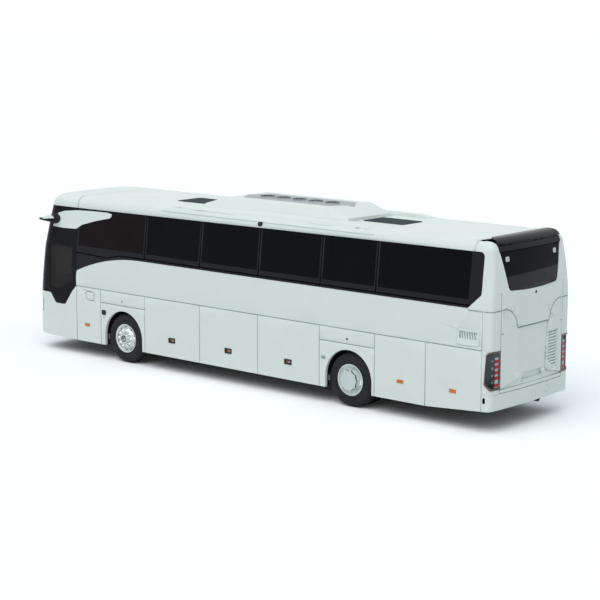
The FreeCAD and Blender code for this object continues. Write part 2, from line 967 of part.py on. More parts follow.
def sill_joint():
    """Joint along the sill, which dips under the front pane."""
    half = pane_joint / 2
    line = [
        (at(band_rear), sill_joint_z),
        (at(sill_dip_start), sill_joint_z),
        (at(sill_dip_end), sill_dip_z),
        (at(band_front), sill_front_z)]
    low = [(x, z - half) for x, z in line]
    high = [(x, z + half) for x, z in reversed(line)]
    return side_prism(low + high, -outside, outside, [0, sill_round, sill_round, 0] * 2)


def make_side_glass():
    """Flush side windows, one strip a side, with grooved joints between panes."""
    band, radii = band_outline(-fit_gap)
    sheet = layer(glass_inset, glass_inset + glass_thickness)
    strip = sheet.common(side_prism(band, wall, outside, radii)).cut(pane_joints())
    save("side_glass_left", [strip])
    save("side_glass_right", [mirrored(strip)])


def make_pillar_blades():
    """White wing-shaped trims on the black mask, one a side."""
    low = at(blade_front) - blade_length
    shares = blade_upper_shares + blade_lower_shares
    points = [(low + u * blade_length, blade_low_z + v * blade_height) for u, v in shares]
    radii = [blade_round, 0, 0, 0, 0, 0, 0, 0, 2 * blade_round, 2 * blade_round, 0, blade_round]
    zone = side_prism(points, wall, outside, radii)
    blade = layer(-blade_proud, 0).common(zone).cut(arm_root_oval(fit_gap))
    save("pillar_blades", both_sides(blade))


def arm_root_oval(margin):
    """Oval column through the left side, round the root of the camera arm."""
    section = arm_section(0, arm_pad_chord + 2 * margin, arm_pad_height + 2 * margin, at(arm_x), arm_root_z)
    return Part.Face(section).extrude(Vector(0, outside, 0))


def door_slab(skin, outline, window):
    """Door panel with its window opening."""
    slab = skin.common(side_prism(outline, -outside, 0))
    return slab.cut(side_prism(window, -outside, 0, [window_round] * 4))


def door_windows():
    """Side outlines of the windows in the two doors."""
    front = rectangle(at(door_rear), at(door_front), door_low_z + 2 * door_frame, door_top_z)
    middle = rectangle(at(mid_door_rear), at(mid_door_front), mid_window_low_z, band_low_z - door_frame)
    return grown(front, -door_frame), grown(middle, -door_frame)


def make_doors(skin):
    """Entrance door, middle door and the panes in both."""
    front_window, middle_window = door_windows()
    save("entrance_door", [door_slab(skin, door_outlines()[0], front_window)])
    save("middle_door", [door_slab(skin, door_outlines(-fit_gap)[1], middle_window)])
    sheet = layer(glass_inset, glass_inset + glass_thickness)
    panes = []
    for window in (front_window, middle_window):
        zone = side_prism(grown(window, -fit_gap), -outside, 0, [window_round] * 4)
        panes.append(sheet.common(zone))
    save("door_glass", panes)


def make_wipers():
    """Two wipers parked along the foot of the windscreen."""
    low = windscreen_low_z + windscreen_rim + wiper_width
    sheet = layer(-wiper_proud, glass_inset - seat_gap)
    wipers = []
    for side in (-1, 1):
        hub = side * wiper_hub + wiper_arm / 2
        tip = hub - wiper_arm
        points = [
            (hub, low),
            (tip, low + wiper_width),
            (tip, low + 2 * wiper_width),
            (hub, low + wiper_width)]
        wipers.append(sheet.common(end_prism(points, 0, -behind)))
    save("wipers", wipers)


# Rear
def louvre_zone(margin=0):
    """Louvre opening on the right of the engine lid, its lower inner corner cut."""
    outline = [
        (-louvre_outer, louvre_low_z),
        (-louvre_inner - louvre_cut_run, louvre_low_z),
        (-louvre_inner, louvre_low_z + louvre_cut_rise),
        (-louvre_inner, louvre_top_z),
        (-louvre_outer, louvre_top_z)]
    return end_prism(grown(outline, margin), behind, 0, [louvre_round] * 5)


def make_rear_panel(skin):
    """White rear end with the corner pillars, above the bumper joint."""
    window, window_radii = rear_window_outline()
    band, band_radii = band_outline()
    rebate = layer(-groove_depth, glass_inset + glass_thickness + seat_gap)
    panel = skin.common(side_prism(rear_outline(-fit_gap), -outside, outside))
    cuts = [
        block((behind, -outside, low_limit), (0, outside, bumper_z + fit_gap)),
        rebate.common(side_prism(band, -outside, outside, band_radii)),
        rear_prism(window, window_radii),
        rear_prism(*lid_outline()),
        spoiler_zone(),
        louvre_zone()]
    cuts += [lamp_zone(side, 0) for side in (-1, 1)]
    save("rear_panel", [panel.cut(rear_grooves()).cut(cuts)])


def rear_prism(points, radii=None):
    """Solid from an end outline, through the rear end only."""
    return end_prism(points, behind, at(rear_seam), radii)


def rear_grooves():
    """Shoulder line over the engine lid, level seam, corner line and its tick, on both sides of the rear."""
    half = groove_width / 2
    level = rectangle(shoulder_points[-1][0], outside, corner_seam_z - half, corner_seam_z + half)
    corner = rectangle(corner_line_y - half, corner_line_y + half, low_limit, corner_line_top_z)
    foot = rectangle(0, corner_line_y, bumper_z - half, bumper_z + groove_width)
    tick = rectangle(corner_line_y - tick_run, corner_line_y, tick_z - half, tick_z + half)
    line = fused([shoulder_line()] + [rear_prism(zone) for zone in (level, corner, foot, tick)])
    return layer(-groove_depth, groove_depth).common(fused(both_sides(line)))


def shoulder_line():
    """Curved joint from the lid's upper corner out to the level seam."""
    edges = []
    for move in (-groove_width / 2, groove_width / 2):
        places = [Vector(behind, y - move, z + move) for y, z in shoulder_points]
        edges.append((Part.Arc(*places).toShape(), places[0], places[-1]))
    (low, low_start, low_end), (high, high_start, high_end) = edges
    ends = [Part.LineSegment(low_end, high_end).toShape(), Part.LineSegment(high_start, low_start).toShape()]
    face = Part.Face(Part.Wire([low, ends[0], high, ends[1]]))
    return face.extrude(Vector(at(rear_seam) - behind, 0, 0))


def make_engine_lid():
    """Sunk engine lid with its hand recess, and a slot over its upper edge."""
    sheet = layer(lid_step, lid_step + wall)
    lid = sheet.common(rear_prism(*lid_outline(-fit_gap)))
    points = [
        (recess_right, recess_low_z),
        (recess_left, recess_low_z),
        (recess_left - recess_slant, recess_top_z),
        (recess_right + recess_slant, recess_top_z)]
    hollow = layer(0, lid_step + recess_depth).common(rear_prism(points, [recess_round] * 4))
    slot = block((behind, -outside, lid_top_z - lid_slot), (0, outside, top_limit))
    save("engine_lid", [lid.cut([hollow, slot])])


def make_rear_bumper(skin):
    """White bumper under the rear joint, round both corners."""
    panel = skin.common(side_prism(rear_outline(-fit_gap), -outside, outside))
    upper = block((behind, -outside, bumper_z), (0, outside, top_limit))
    save("rear_bumper", [panel.cut([upper, skirt_cut()])])


def make_rear_louvre():
    """Frame with level slats beside the engine lid."""
    whole = louvre_zone(-fit_gap)
    inner = louvre_zone(-fit_gap - louvre_frame)
    pitch = (louvre_top_z - louvre_low_z - 2 * louvre_frame) / louvre_count
    bars = []
    for index in range(louvre_count):
        low = louvre_low_z + louvre_frame + pitch * index
        outline = rectangle(-louvre_outer, -louvre_inner, low, low + pitch / 2)
        bars.append(end_prism(outline, behind, 0).common(whole))
    sheet = layer(groove_depth / 2, groove_depth / 2 + louvre_thickness)
    save("rear_louvre", [sheet.common(whole.cut(inner).fuse(bars))])


def make_rear_window():
    """Dark rear window under the spoiler."""
    sheet = layer(glass_inset, glass_inset + glass_thickness)
    pane = sheet.common(rear_prism(*rear_window_outline(-fit_gap)))
    save("rear_window", [pane.cut(spoiler_zone(fit_gap))])


def make_spoiler():
    """Gloss black spoiler over the rear edge of the roof, stepped back under its lip."""
    hood = layer(-spoiler_proud, wall).common(spoiler_zone(-fit_gap))
    foot = block((behind, -outside, low_limit), (at(spoiler_front), outside, spoiler_lip_z))
    save("rear_spoiler", [hood.cut(layer(-spoiler_proud, -spoiler_foot_proud).common(foot))])


def make_tail_lamps():
    """Corner lamps: plated bezel, dark housing, pale upright strip and its red squares."""
    edge = -fit_gap - tail_lamp_bezel
    bezels = [layer(-bezel_proud, wall).common(lamp_zone(side, -fit_gap).cut(lamp_zone(side, edge)))
              for side in (-1, 1)]
    housings = [layer(glass_inset, wall).common(lamp_zone(side, edge)) for side in (-1, 1)]
    top = tail_lamp_top_z - tail_lamp_cut
    strip = both_sides(lamp_square(tail_lamp_low_z + tail_lamp_bezel - edge, top))
    channel = layer(-groove_depth, glass_inset + groove_depth)
    save("tail_lamp_bezels", bezels)
    save("tail_lamps", [housing.cut([channel.common(bar) for bar in strip]) for housing in housings])
    save("tail_lamp_strips", [layer(glass_inset, glass_inset + groove_depth).common(bar) for bar in strip])
    rows = [lamp_segment_low_z + lamp_segment_pitch * index for index in range(lamp_segment_count)]
    squares = []
    for low in [lamp_foot_segment_z] + rows:
        squares += both_sides(lamp_square(low, low + lamp_segment))
    save("tail_lamp_lenses", [layer(0, glass_inset).common(square) for square in squares])


def lamp_square(low_z, top_z):
    """Stretch of the left lamp's upright strip between two heights."""
    inner = tail_lamp_inner + lamp_strip_inset
    outline = rectangle(inner, inner + lamp_strip_width, low_z, top_z)
    return end_prism(outline, behind, at(corner_seam) - rear_corner / 2)


def make_exhaust():
    """Tail pipe that looks out under the rear bumper."""
    start = Vector(-nose_x + exhaust_inset, exhaust_y, base_low_z - exhaust_radius)
    pipe = Part.makeCylinder(exhaust_radius, exhaust_length, start, Vector(1, 0, 0))
    bore = Part.makeCylinder(exhaust_bore, exhaust_length / 2, start, Vector(1, 0, 0))
    save("exhaust_pipe", [pipe.cut(bore)])


# Roof
def cowl_section(x, top_half, top_z, foot_half, foot_z):
    """Cross-section of the roof cowl at x: flat top, rounded shoulders, sloping sides."""
    points = [(foot_half, foot_z), (top_half, top_z), (-top_half, top_z), (-foot_half, foot_z)]
    radii = [0, cowl_round, cowl_round, 0]
    return rounded_wire(points, radii, lambda v: Vector(x, v.x, v.y))


def make_cowl():
    """White air-conditioning hump with its two long side fairings."""
    foot_z = roof_z - wall
    end_z = foot_z + 2 * cowl_round
    places = (
        (at(cowl_rear), cowl_top_half, end_z),
        (at(cowl_rear) + cowl_rear_run, cowl_top_half, cowl_top_z),
        (at(cowl_front) - cowl_front_run, cowl_top_half, cowl_top_z),
        (at(cowl_front), cowl_top_half - cowl_round, end_z))
    sections = [cowl_section(x, half, top, cowl_foot_half, foot_z) for x, half, top in places]
    hump = Part.makeLoft(sections, True, True)
    cowl = fused([hump] + both_sides(fairing()))
    cowl = cowl.cut([form(-seat_gap), roof_plate_zone(0, plate_sink)])
    for front, rear, half in (
            (front_hatch_front, front_hatch_rear, front_hatch_half),
            (rear_hatch_front, rear_hatch_rear, rear_hatch_half)):
        cowl = cowl.cut(top_prism(hatch_zone(front, rear, half, fit_gap), foot_z, top_limit))
    save("roof_cowl", [cowl])


def fairing_section(x, crest_z):
    """Cross-section of the left fairing at x, rounded over its crest."""
    low = fairing_foot_z - overrun
    points = [
        (fairing_foot_half, low),
        (fairing_foot_half, fairing_foot_z),
        (fairing_crest_half, crest_z),
        (fairing_inner_half, crest_z),
        (fairing_inner_half, low)]
    return rounded_wire(points, [0, 0, side_round / 2, 0, 0], lambda v: Vector(x, v.x, v.y))


def fairing():
    """Left side fairing, highest near its rear third and running out at both ends."""
    rise = fairing_crest_z - fairing_start_z
    places = (
        (fairing_front, fairing_foot_z + fit_gap + side_round / 2),
        (fairing_front - fairing_run, fairing_start_z),
        (fairing_peak, fairing_crest_z),
        (0, fairing_crest_z - rise * fairing_fall_share),
        (fairing_rear + fairing_run, fairing_start_z),
        (fairing_rear, fairing_foot_z + fit_gap + side_round / 2))
    return Part.makeLoft([fairing_section(at(ahead), z) for ahead, z in places], True, True)


def roof_plate_zone(margin, depth):
    """Sunk plate on the hump, its ends drawn to blunt points."""
    rear = at(plate_rear) - margin
    front = at(plate_front) + margin
    half = plate_half + margin
    points = [
        (rear, -half),
        (front, -half),
        (front + plate_slant, 0),
        (front, half),
        (rear, half),
        (rear - plate_slant, 0)]
    return top_prism(points, cowl_top_z - depth, cowl_top_z + overrun)


def make_roof_plate():
    """Grey plate in the hump with round openings for the fans."""
    floor = cowl_top_z - plate_sink
    above = block((-nose_x, -outside, floor + roof_plate_thickness), (nose_x, outside, top_limit + overrun))
    save("roof_plate", [roof_plate_zone(-fit_gap, plate_sink).cut(above)])


def fan(centre_x):
    """One fan: ring, hub and slanted blades on the roof plate."""
    low = cowl_top_z - plate_sink + roof_plate_thickness
    centre = Vector(centre_x, 0, low)
    ring = Part.makeCylinder(fan_radius, fan_height, centre)
    ring = ring.cut(Part.makeCylinder(fan_radius - fan_ring, fan_height, centre))
    hub = Part.makeCylinder(fan_hub, fan_height, centre)
    half = fan_blade_width / 2
    blades = []
    for index in range(fan_blade_count):
        blade = block((0, -half, 0), (fan_radius - fan_ring / 2, half, fan_height / 2))
        blade.rotate(Vector(0, 0, 0), Vector(0, 0, 1), full_turn * index / fan_blade_count)
        blade.translate(centre)
        blades.append(blade)
    return ring.fuse([hub] + blades)


def make_fans():
    """Row of five fans along the roof plate."""
    save("roof_fans", [fan(at(fan_first - fan_pitch * index)) for index in range(fan_count)])


def make_hatches():
    """Two dark hatches let into the roof skin."""
    hatches = (
        ("roof_hatch_front", front_hatch_front, front_hatch_rear, front_hatch_half),
        ("roof_hatch_rear", rear_hatch_front, rear_hatch_rear, rear_hatch_half))
    sheet = layer(-hatch_proud, hatch_thickness - seat_gap)
    for name, front, rear, half in hatches:
        zone = hatch_zone(front, rear, half, -fit_gap)
        save(name, [sheet.common(top_prism(zone, roof_z - wall, top_limit, [hatch_round] * 4))])


def make_knobs():
    """Black round knob on each roof edge."""
    start = Vector(at(knob_at), side_line(knob_z) - knob_reach, knob_z)
    knob = Part.makeCylinder(knob_radius, 2 * knob_reach, start, Vector(0, 1, 0))
    save("roof_edge_knobs", both_sides(knob.cut(form(-seat_gap))))


# Camera arms
def arm_section(y, chord, height, x, z):
    """Flattened oval section of a camera arm at y."""
    oval = Part.Ellipse(Vector(0, 0, 0), chord / 2, height / 2).toShape()
    oval.rotate(Vector(0, 0, 0), Vector(1, 0, 0), quarter_turn)
    oval.translate(Vector(x, y, z))
    return Part.Wire([oval])


def make_arms():
    """Wing-shaped camera arms on both front pillars."""
    root_y = side_line(arm_root_z) - wall
    mid_y = (side_line(arm_root_z) + arm_reach) / 2
    x = at(arm_x)
    sections = [
        arm_section(root_y, arm_root_chord, arm_root_height, x, arm_root_z),
        arm_section(mid_y, arm_mid_chord, arm_mid_height, x + arm_sweep / 2, arm_root_z + arm_lift / 2),
        arm_section(arm_reach, arm_tip_chord, arm_tip_height, x + arm_sweep, arm_root_z + arm_lift)]
    arm = Part.makeLoft(sections, True, False)
    pad = layer(-arm_pad_proud, -seat_gap).common(arm_root_oval(0))
    arm = arm.cut(form(-seat_gap)).fuse(pad)
    save("camera_arm_left", [arm])
    save("camera_arm_right", [mirrored(arm)])


# Small side fittings
def marker_zones(margin=0):
    """Side outlines of the orange markers."""
    half = marker_length / 2
    low = marker_z - marker_height / 2
    places = [at(ahead) for ahead in marker_places]
    return [grown(rectangle(x - half, x + half, low, low + marker_height), margin) for x in places]


def handle_zones(margin=0):
    """Side outlines of the luggage flap handles, one in the middle of each bay."""
    half = handle_length / 2
    low = handle_z - handle_height / 2
    middles = [at(joint) - bay_pitch / 2 for joint in bay_joints[:-1]]
    return [grown(rectangle(x - half, x + half, low, low + handle_height), margin) for x in middles]


def handle_prisms(margin=0):
    """Handle outlines through the left side, and through the right where no door is."""
    prisms = []
    for zone in handle_zones(margin):
        clear = zone[1][0] < at(mid_door_rear) or zone[0][0] > at(mid_door_front)
        prisms.append(side_prism(zone, -outside if clear else 0, outside))
    return fused(prisms)


def marker_pockets():
    """Pockets that hold the markers."""
    prisms = [side_prism(zone, -outside, outside) for zone in marker_zones(fit_gap)]
    return layer(-groove_depth, marker_thickness).common(fused(prisms))


def handle_pockets():
    """Pockets that hold the flap handles."""
    return layer(-groove_depth, marker_thickness).common(handle_prisms(fit_gap))


def make_markers():
    """Orange side markers in both sides."""
    sheet = layer(-marker_proud, marker_thickness - seat_gap)
    prisms = [side_prism(zone, -outside, outside) for zone in marker_zones()]
    save("side_markers", [sheet.common(fused(prisms))])


def make_handles():
    """Dark handle frames with an open middle."""
    sheet = layer(-marker_proud, marker_thickness - seat_gap)
    whole = handle_prisms()
    inner = handle_prisms(-handle_frame)
    grip = layer(groove_depth, marker_thickness - seat_gap).common(inner)
    save("flap_handles", [sheet.common(whole.cut(inner)).fuse(grip)])


def make_vents():
    """Framed vents with leaning fins near the tail, in both sides."""
    outline = vent_zone(-fit_gap)
    (low_x, low_z), (high_x, _), (_, top_z), _ = vent_zone(-fit_gap - vent_frame)
    low_z += vent_sill
    pitch = (high_x - low_x) / vent_fins
    inner = rectangle(low_x, high_x, low_z, top_z)
    frame = side_prism(outline, -outside, outside, [vent_corner] * 4)
    frame = frame.cut(side_prism(inner, -outside, outside))
    fins = []
    for index in range(vent_fins):
        rear = low_x + pitch * index
        front = rear + pitch / 2
        fin = [
            (rear, low_z - fit_gap),
            (front, low_z - fit_gap),
            (front + vent_fin_lean, top_z + fit_gap),
            (rear + vent_fin_lean, top_z + fit_gap)]
        fins.append(side_prism(fin, -outside, outside))
    face = layer(0, vent_recess - seat_gap).common(frame)
    sunk = layer(groove_depth, vent_recess - seat_gap).common(fused(fins))
    save("side_vents", [face.fuse(sunk)])


# Chassis
def make_base():
    """Black base plate inside the skirt, slotted for the axles, with two screw bosses."""
    margin = wall + fit_gap
    outline = Part.Face(plan_wire(base_low_z, margin))
    plate = outline.extrude(Vector(0, 0, base_thickness))
    cuts = []
    for axle_x, width in ((front_axle_x, tyre_width), (rear_axle_x, twin_width)):
        half_run = arch_radius + liner_wall + fit_gap
        inner = liner_face(width) - liner_wall - fit_gap
        for side in (-1, 1):
            ys = sorted((side * inner, side * outside))
            cuts.append(block((axle_x - half_run, ys[0], low_limit), (axle_x + half_run, ys[1], roof_z)))
        half_slot = base_slot / 2
        cuts.append(block((axle_x - half_slot, -outside, low_limit), (axle_x + half_slot, outside, roof_z)))
    plate = plate.cut(cuts)
    plate = fused([plate] + axle_bridges())
    bosses = []
    bores = []
    for ahead in (screw_front, screw_rear):
        foot = Vector(at(ahead), 0, base_low_z)
        bosses.append(Part.makeCylinder(boss_radius, boss_height, foot))
        bores.append(Part.makeCylinder(screw_radius, boss_height - base_thickness, foot))
    save("base_plate", [plate.fuse(bosses).cut(bores)])


def axle_bridges():
    """Raised bridge over each axle slot, so that the base plate is one piece."""
    bridges = []
    top = base_top_z + saddle_height
    half = saddle_length / 2
    half_slot = base_slot / 2
    for axle_x in (front_axle_x, rear_axle_x):
        low = (axle_x - half, -saddle_y + saddle_width, base_top_z - base_thickness / 2)
        high = (axle_x + half, saddle_y - saddle_width, top)
        slot_low = (axle_x - half_slot, -outside, low_limit)
        slot_high = (axle_x + half_slot, outside, top - base_thickness)
        bridges.append(block(low, high).cut(block(slot_low, slot_high)))
    return bridges


def make_saddles():
    """Snap-in saddles that carry the axle pins."""
    saddles = []
    for axle_x in (front_axle_x, rear_axle_x):
        low = (axle_x - saddle_length / 2, saddle_y - saddle_width + fit_gap, base_top_z)
        high = (axle_x + saddle_length / 2, saddle_y, base_top_z + saddle_height)
        start = Vector(axle_x, 0, tyre_radius)
        hole = Part.makeCylinder(pin_radius + pin_clearance, outside, start, Vector(0, 1, 0))
        saddles += both_sides(block(low, high).cut(hole))
    save("axle_saddles", saddles)


def liner_face(width):
    """Distance from the middle to the face of a liner behind a tyre of this width."""
    return wheel_face_y - width - tyre_clearance


def liner(axle_x, width):
    """Black inner arch on the left: a curved roof closed on its inner side."""
    inner_y = liner_face(width)
    depth = half_width - wall - fit_gap - inner_y
    radius = arch_radius + liner_wall
    half_slot = base_slot / 2
    back = Vector(axle_x, inner_y - liner_wall, tyre_radius + arch_rise)
    face = Vector(axle_x, inner_y, tyre_radius + arch_rise)
    drum = Part.makeCylinder(radius, depth + liner_wall, back, Vector(0, 1, 0))
    hollow = Part.makeCylinder(arch_radius, depth, face, Vector(0, 1, 0))
    below = block((axle_x - 2 * radius, 0, low_limit - overrun), (axle_x + 2 * radius, outside, base_low_z))
    slot = block((axle_x - half_slot, 0, low_limit), (axle_x + half_slot, outside, tyre_radius + base_slot))
    return drum.cut([hollow, below, slot])


def make_liners():
    """Four inner arches."""
    front = both_sides(liner(front_axle_x, tyre_width))
    save("wheel_arch_liners", front + both_sides(liner(rear_axle_x, twin_width)))


# Inside
def make_floor():
    """Passenger floor with the lower driver's place in front."""
    half = half_width - wall - fit_gap
    top = floor_z + floor_thickness
    cab_top = cab_floor_z + floor_thickness
    points = [
        (at(floor_rear), floor_z),
        (at(floor_front) - floor_thickness, floor_z),
        (at(floor_front) - floor_thickness, cab_floor_z),
        (at(cab_front), cab_floor_z),
        (at(cab_front), cab_top),
        (at(floor_front), cab_top),
        (at(floor_front), top),
        (at(floor_rear), top)]
    save("cabin_floor", [side_prism(points, -half, half).common(form(wall + fit_gap))])


def seat_profile(x, low, height):
    """Side outline of a seat that faces forward, its cushion's front at x."""
    back_x = x - seat_depth
    cushion = low + height
    return [
        (x - seat_back, low),
        (x - seat_back / 2, cushion - seat_cushion),
        (x, cushion - seat_cushion),
        (x, cushion),
        (back_x + seat_back, cushion),
        (back_x + seat_back - seat_lean, cushion + seat_back_height - height),
        (back_x - seat_lean, cushion + seat_back_height - height),
        (back_x, cushion - seat_cushion),
        (back_x + seat_back, low)]


def make_seats():
    """Rows of paired passenger seats on both sides of the aisle."""
    low = floor_z + floor_thickness
    gap_low = aisle_half + seat_width
    gap_high = gap_low + seat_gap_middle
    gap = block((-nose_x, gap_low, low + seat_height), (nose_x, gap_high, roof_z))
    seats = []
    for row in range(seat_rows):
        profile = seat_profile(at(seat_first - seat_pitch * row), low, seat_height)
        pair = side_prism(profile, aisle_half, gap_high + seat_width, seat_radii)
        seats += both_sides(pair.cut(gap))
    save("passenger_seats", seats)


def make_driver_place():
    """Driver's seat, dashboard and steering wheel on the left."""
    low = cab_floor_z + floor_thickness
    profile = seat_profile(at(driver_seat_at) + seat_depth + seat_lean + floor_thickness, low, seat_height)
    low_y = driver_seat_y - driver_seat_width / 2
    save("driver_seat", [side_prism(profile, low_y, low_y + driver_seat_width, seat_radii)])
    top = low + dash_height
    front = at(dash_front)
    points = [
        (front - dash_depth / 2, low),
        (front, low),
        (front, top + seat_cushion),
        (front - dash_depth + dash_top_run, top),
        (front - dash_depth, top - dash_top_run)]
    desk = side_prism(points, -dash_half, dash_half, [0, 0, seat_cushion, seat_cushion, seat_cushion])
    desk = desk.common(form(wall + fit_gap))
    save("dashboard", [desk])
    save("steering_wheel", [steering_wheel(front - dash_depth, top)])


def steering_wheel(x, z):
    """Rim, three spokes and a column, tilted towards the driver."""
    rim = Part.makeTorus(steering_radius, steering_rim)
    column = Part.makeCylinder(2 * steering_rim, steering_column, Vector(0, 0, -steering_column))
    spokes = []
    for index in range(spoke_count):
        spoke = block((0, -steering_rim, -steering_rim), (steering_radius, steering_rim, steering_rim))
        spoke.rotate(Vector(0, 0, 0), Vector(0, 0, 1), quarter_turn + full_turn * index / spoke_count)
        spokes.append(spoke)
    wheel = rim.fuse([column] + spokes)
    wheel.rotate(Vector(0, 0, 0), Vector(0, 1, 0), steering_angle - quarter_turn)
    angle = math.radians(steering_angle)
    away = Vector(-math.cos(angle), 0, math.sin(angle)) * steering_column
    wheel.translate(Vector(x, driver_seat_y, z) + away)
    return wheel


# Wheels
def ring(profile, radii, axle_x):
    """Solid of revolution about an axle from (y, radius) points."""
    wire = rounded_wire(profile, radii, lambda v: Vector(axle_x, v.x, tyre_radius + v.y))
    face = Part.Face(wire)
    return face.revolve(Vector(axle_x, 0, tyre_radius), Vector(0, 1, 0), full_turn)


def shoulder(y, inward):
    """Profile points of a tyre shoulder in two flats, from the sidewall to the tread."""
    low = tyre_radius - tyre_round
    return [
        (y, low),
        (y + inward * tyre_round * shoulder_share, tyre_radius - tyre_round * shoulder_share),
        (y + inward * tyre_round, tyre_radius)]


def tyre(axle_x, width):
    """Left tyre with flattened shoulders; wide ones are grooved as a twin pair."""
    face = wheel_face_y
    inner = face - width
    points = [(face - bead_inset, rim_radius), (face, rim_radius + bead_inset)] + shoulder(face, -1)
    if width > tyre_width:
        near = (face + inner + twin_gap) / 2
        far = near - twin_gap
        points += reversed(shoulder(near, 1))
        points += [(near, tyre_radius - twin_depth), (far, tyre_radius - twin_depth)]
        points += shoulder(far, -1)
    points += reversed(shoulder(inner, 1))
    points += [(inner, rim_radius + bead_inset), (inner + bead_inset, rim_radius)]
    return ring(points, [0] * len(points), axle_x)


def round_place(axle_x, y, radius, turns):
    """Place on a circle about the axle, this share of a turn round it."""
    angle = 2 * math.pi * turns
    return Vector(axle_x + radius * math.cos(angle), y, tyre_radius + radius * math.sin(angle))


def rim_drum(axle_x, width, disc, well):
    """Left rim: a lip, a sunk well, a disc proud of the tyre and a hub."""
    inner = wheel_face_y - width
    radius = rim_radius - seat_gap
    floor = wheel_face_y + disc_proud
    lip = wheel_face_y - rim_lip
    points = [
        (inner, pin_radius + seat_gap),
        (floor + hub_reach, pin_radius + seat_gap),
        (floor + hub_reach, hub_radius),
        (floor, hub_radius + hub_reach / 2),
        (floor, disc),
        (wheel_face_y - well, disc + well_width),
        (lip, radius - rim_wall),
        (lip, radius),
        (inner, radius)]
    return ring(points, [0] * len(points), axle_x)


def nuts(axle_x, floor):
    """Ring of wheel nuts on the disc of a rim."""
    low = floor - nut_height / 2
    places = [round_place(axle_x, low, nut_circle, index / nut_count) for index in range(nut_count)]
    return [Part.makeCylinder(nut_radius, 2 * nut_height, place, Vector(0, 1, 0)) for place in places]


def rear_cover(axle_x, floor):
    """Flat disc that closes a rear hub, its edge a ring of shallow scallops between cusps."""
    edges = []
    for index in range(cusp_count):
        start = round_place(axle_x, floor, cusp_radius, index / cusp_count)
        middle = round_place(axle_x, floor, scallop_radius, (2 * index + 1) / (2 * cusp_count))
        end = round_place(axle_x, floor, cusp_radius, (index + 1) / cusp_count)
        edges.append(Part.Arc(start, middle, end).toShape())
    return [Part.Face(Part.Wire(edges)).extrude(Vector(0, disc_height, 0))]


def make_wheels(name, axle_x, width, rim, fitting, pin_end):
    """Pin, tyres and rims of one axle; a fitting is what lies on the rim's disc."""
    left_rim = rim.fuse(fitting(axle_x, wheel_face_y + disc_proud))
    left_tyre = tyre(axle_x, width)
    save(name + "_tyre_left", [left_tyre])
    save(name + "_tyre_right", [mirrored(left_tyre)])
    save(name + "_rims", both_sides(left_rim))
    start = Vector(axle_x, -pin_end, tyre_radius)
    save(name + "_axle", [Part.makeCylinder(pin_radius, 2 * pin_end, start, Vector(0, 1, 0))])


def make_axle_sets():
    """Front set with bare nuts and hub, rear set with twin tyres and covered hub."""
    disc_y = wheel_face_y + disc_proud
    front = rim_drum(front_axle_x, tyre_width, front_disc, front_well)
    rear = rim_drum(rear_axle_x, twin_width, rear_disc, rear_well)
    make_wheels("front", front_axle_x, tyre_width, front, nuts, disc_y + hub_reach)
    make_wheels("rear", rear_axle_x, twin_width, rear, rear_cover, disc_y - seat_gap)


def main():
    """Write every sub-part."""
    os.makedirs("parts", exist_ok=True)
    skin = layer(0, wall)
    make_body_shell(skin)
    make_front_bumper(skin)
    make_front_mask(skin)
    make_front_glass()
    make_side_glass()
    make_doors(skin)
    make_pillar_blades()
    make_headlamps()
    make_front_grilles()
    make_wipers()
    make_rear_panel(skin)
    make_engine_lid()
    make_rear_bumper(skin)
    make_rear_louvre()
    make_rear_window()
    make_spoiler()
    make_tail_lamps()
    make_exhaust()
    make_cowl()
    make_roof_plate()
    make_fans()
    make_hatches()
    make_knobs()
    make_arms()
    make_markers()
    make_handles()
    make_vents()
    make_base()
    make_saddles()
    make_liners()
    make_floor()
    make_seats()
    make_driver_place()
    make_axle_sets()


if __name__ == "__main__":
    main()
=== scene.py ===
"""Looks of a 1:87 scale model of a two-axle touring coach, laid out as an add-on.

+X is forward, +Y the coach's left and +Z up. Sizes are in metres, written as millimetres times MM.
"""
import json
import math

import bmesh
import bpy
from bpy.props import FloatProperty, FloatVectorProperty, IntProperty, PointerProperty
from mathutils import Matrix, Vector
from mathutils.bvhtree import BVHTree

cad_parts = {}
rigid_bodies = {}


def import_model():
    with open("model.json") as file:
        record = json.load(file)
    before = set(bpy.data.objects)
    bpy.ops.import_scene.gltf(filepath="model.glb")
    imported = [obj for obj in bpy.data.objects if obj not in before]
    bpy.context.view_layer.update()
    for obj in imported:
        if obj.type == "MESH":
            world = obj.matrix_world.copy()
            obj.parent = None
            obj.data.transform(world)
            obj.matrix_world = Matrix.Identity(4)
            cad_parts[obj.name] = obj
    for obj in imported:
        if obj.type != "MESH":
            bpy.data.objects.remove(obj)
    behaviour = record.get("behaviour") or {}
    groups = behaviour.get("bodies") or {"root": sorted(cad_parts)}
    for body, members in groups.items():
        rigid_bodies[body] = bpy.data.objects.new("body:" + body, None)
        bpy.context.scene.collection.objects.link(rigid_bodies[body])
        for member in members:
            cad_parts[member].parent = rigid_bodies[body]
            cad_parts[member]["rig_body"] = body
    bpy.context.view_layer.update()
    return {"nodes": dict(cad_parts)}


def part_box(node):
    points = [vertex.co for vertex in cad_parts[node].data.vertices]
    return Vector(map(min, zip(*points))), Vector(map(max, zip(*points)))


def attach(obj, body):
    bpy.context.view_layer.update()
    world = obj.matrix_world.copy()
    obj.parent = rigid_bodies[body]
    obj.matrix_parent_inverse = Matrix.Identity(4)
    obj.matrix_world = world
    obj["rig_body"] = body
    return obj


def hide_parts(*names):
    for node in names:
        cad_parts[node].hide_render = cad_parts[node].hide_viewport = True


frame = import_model()

bl_info = {
    "name": "Scale Model Coach",
    "version": (1, 0, 0),
    "blender": (4, 5, 0),
    "location": "3D View > Sidebar > Coach",
    "description": "Finishes and small fittings of a 1:87 touring coach",
    "category": "Object",
}

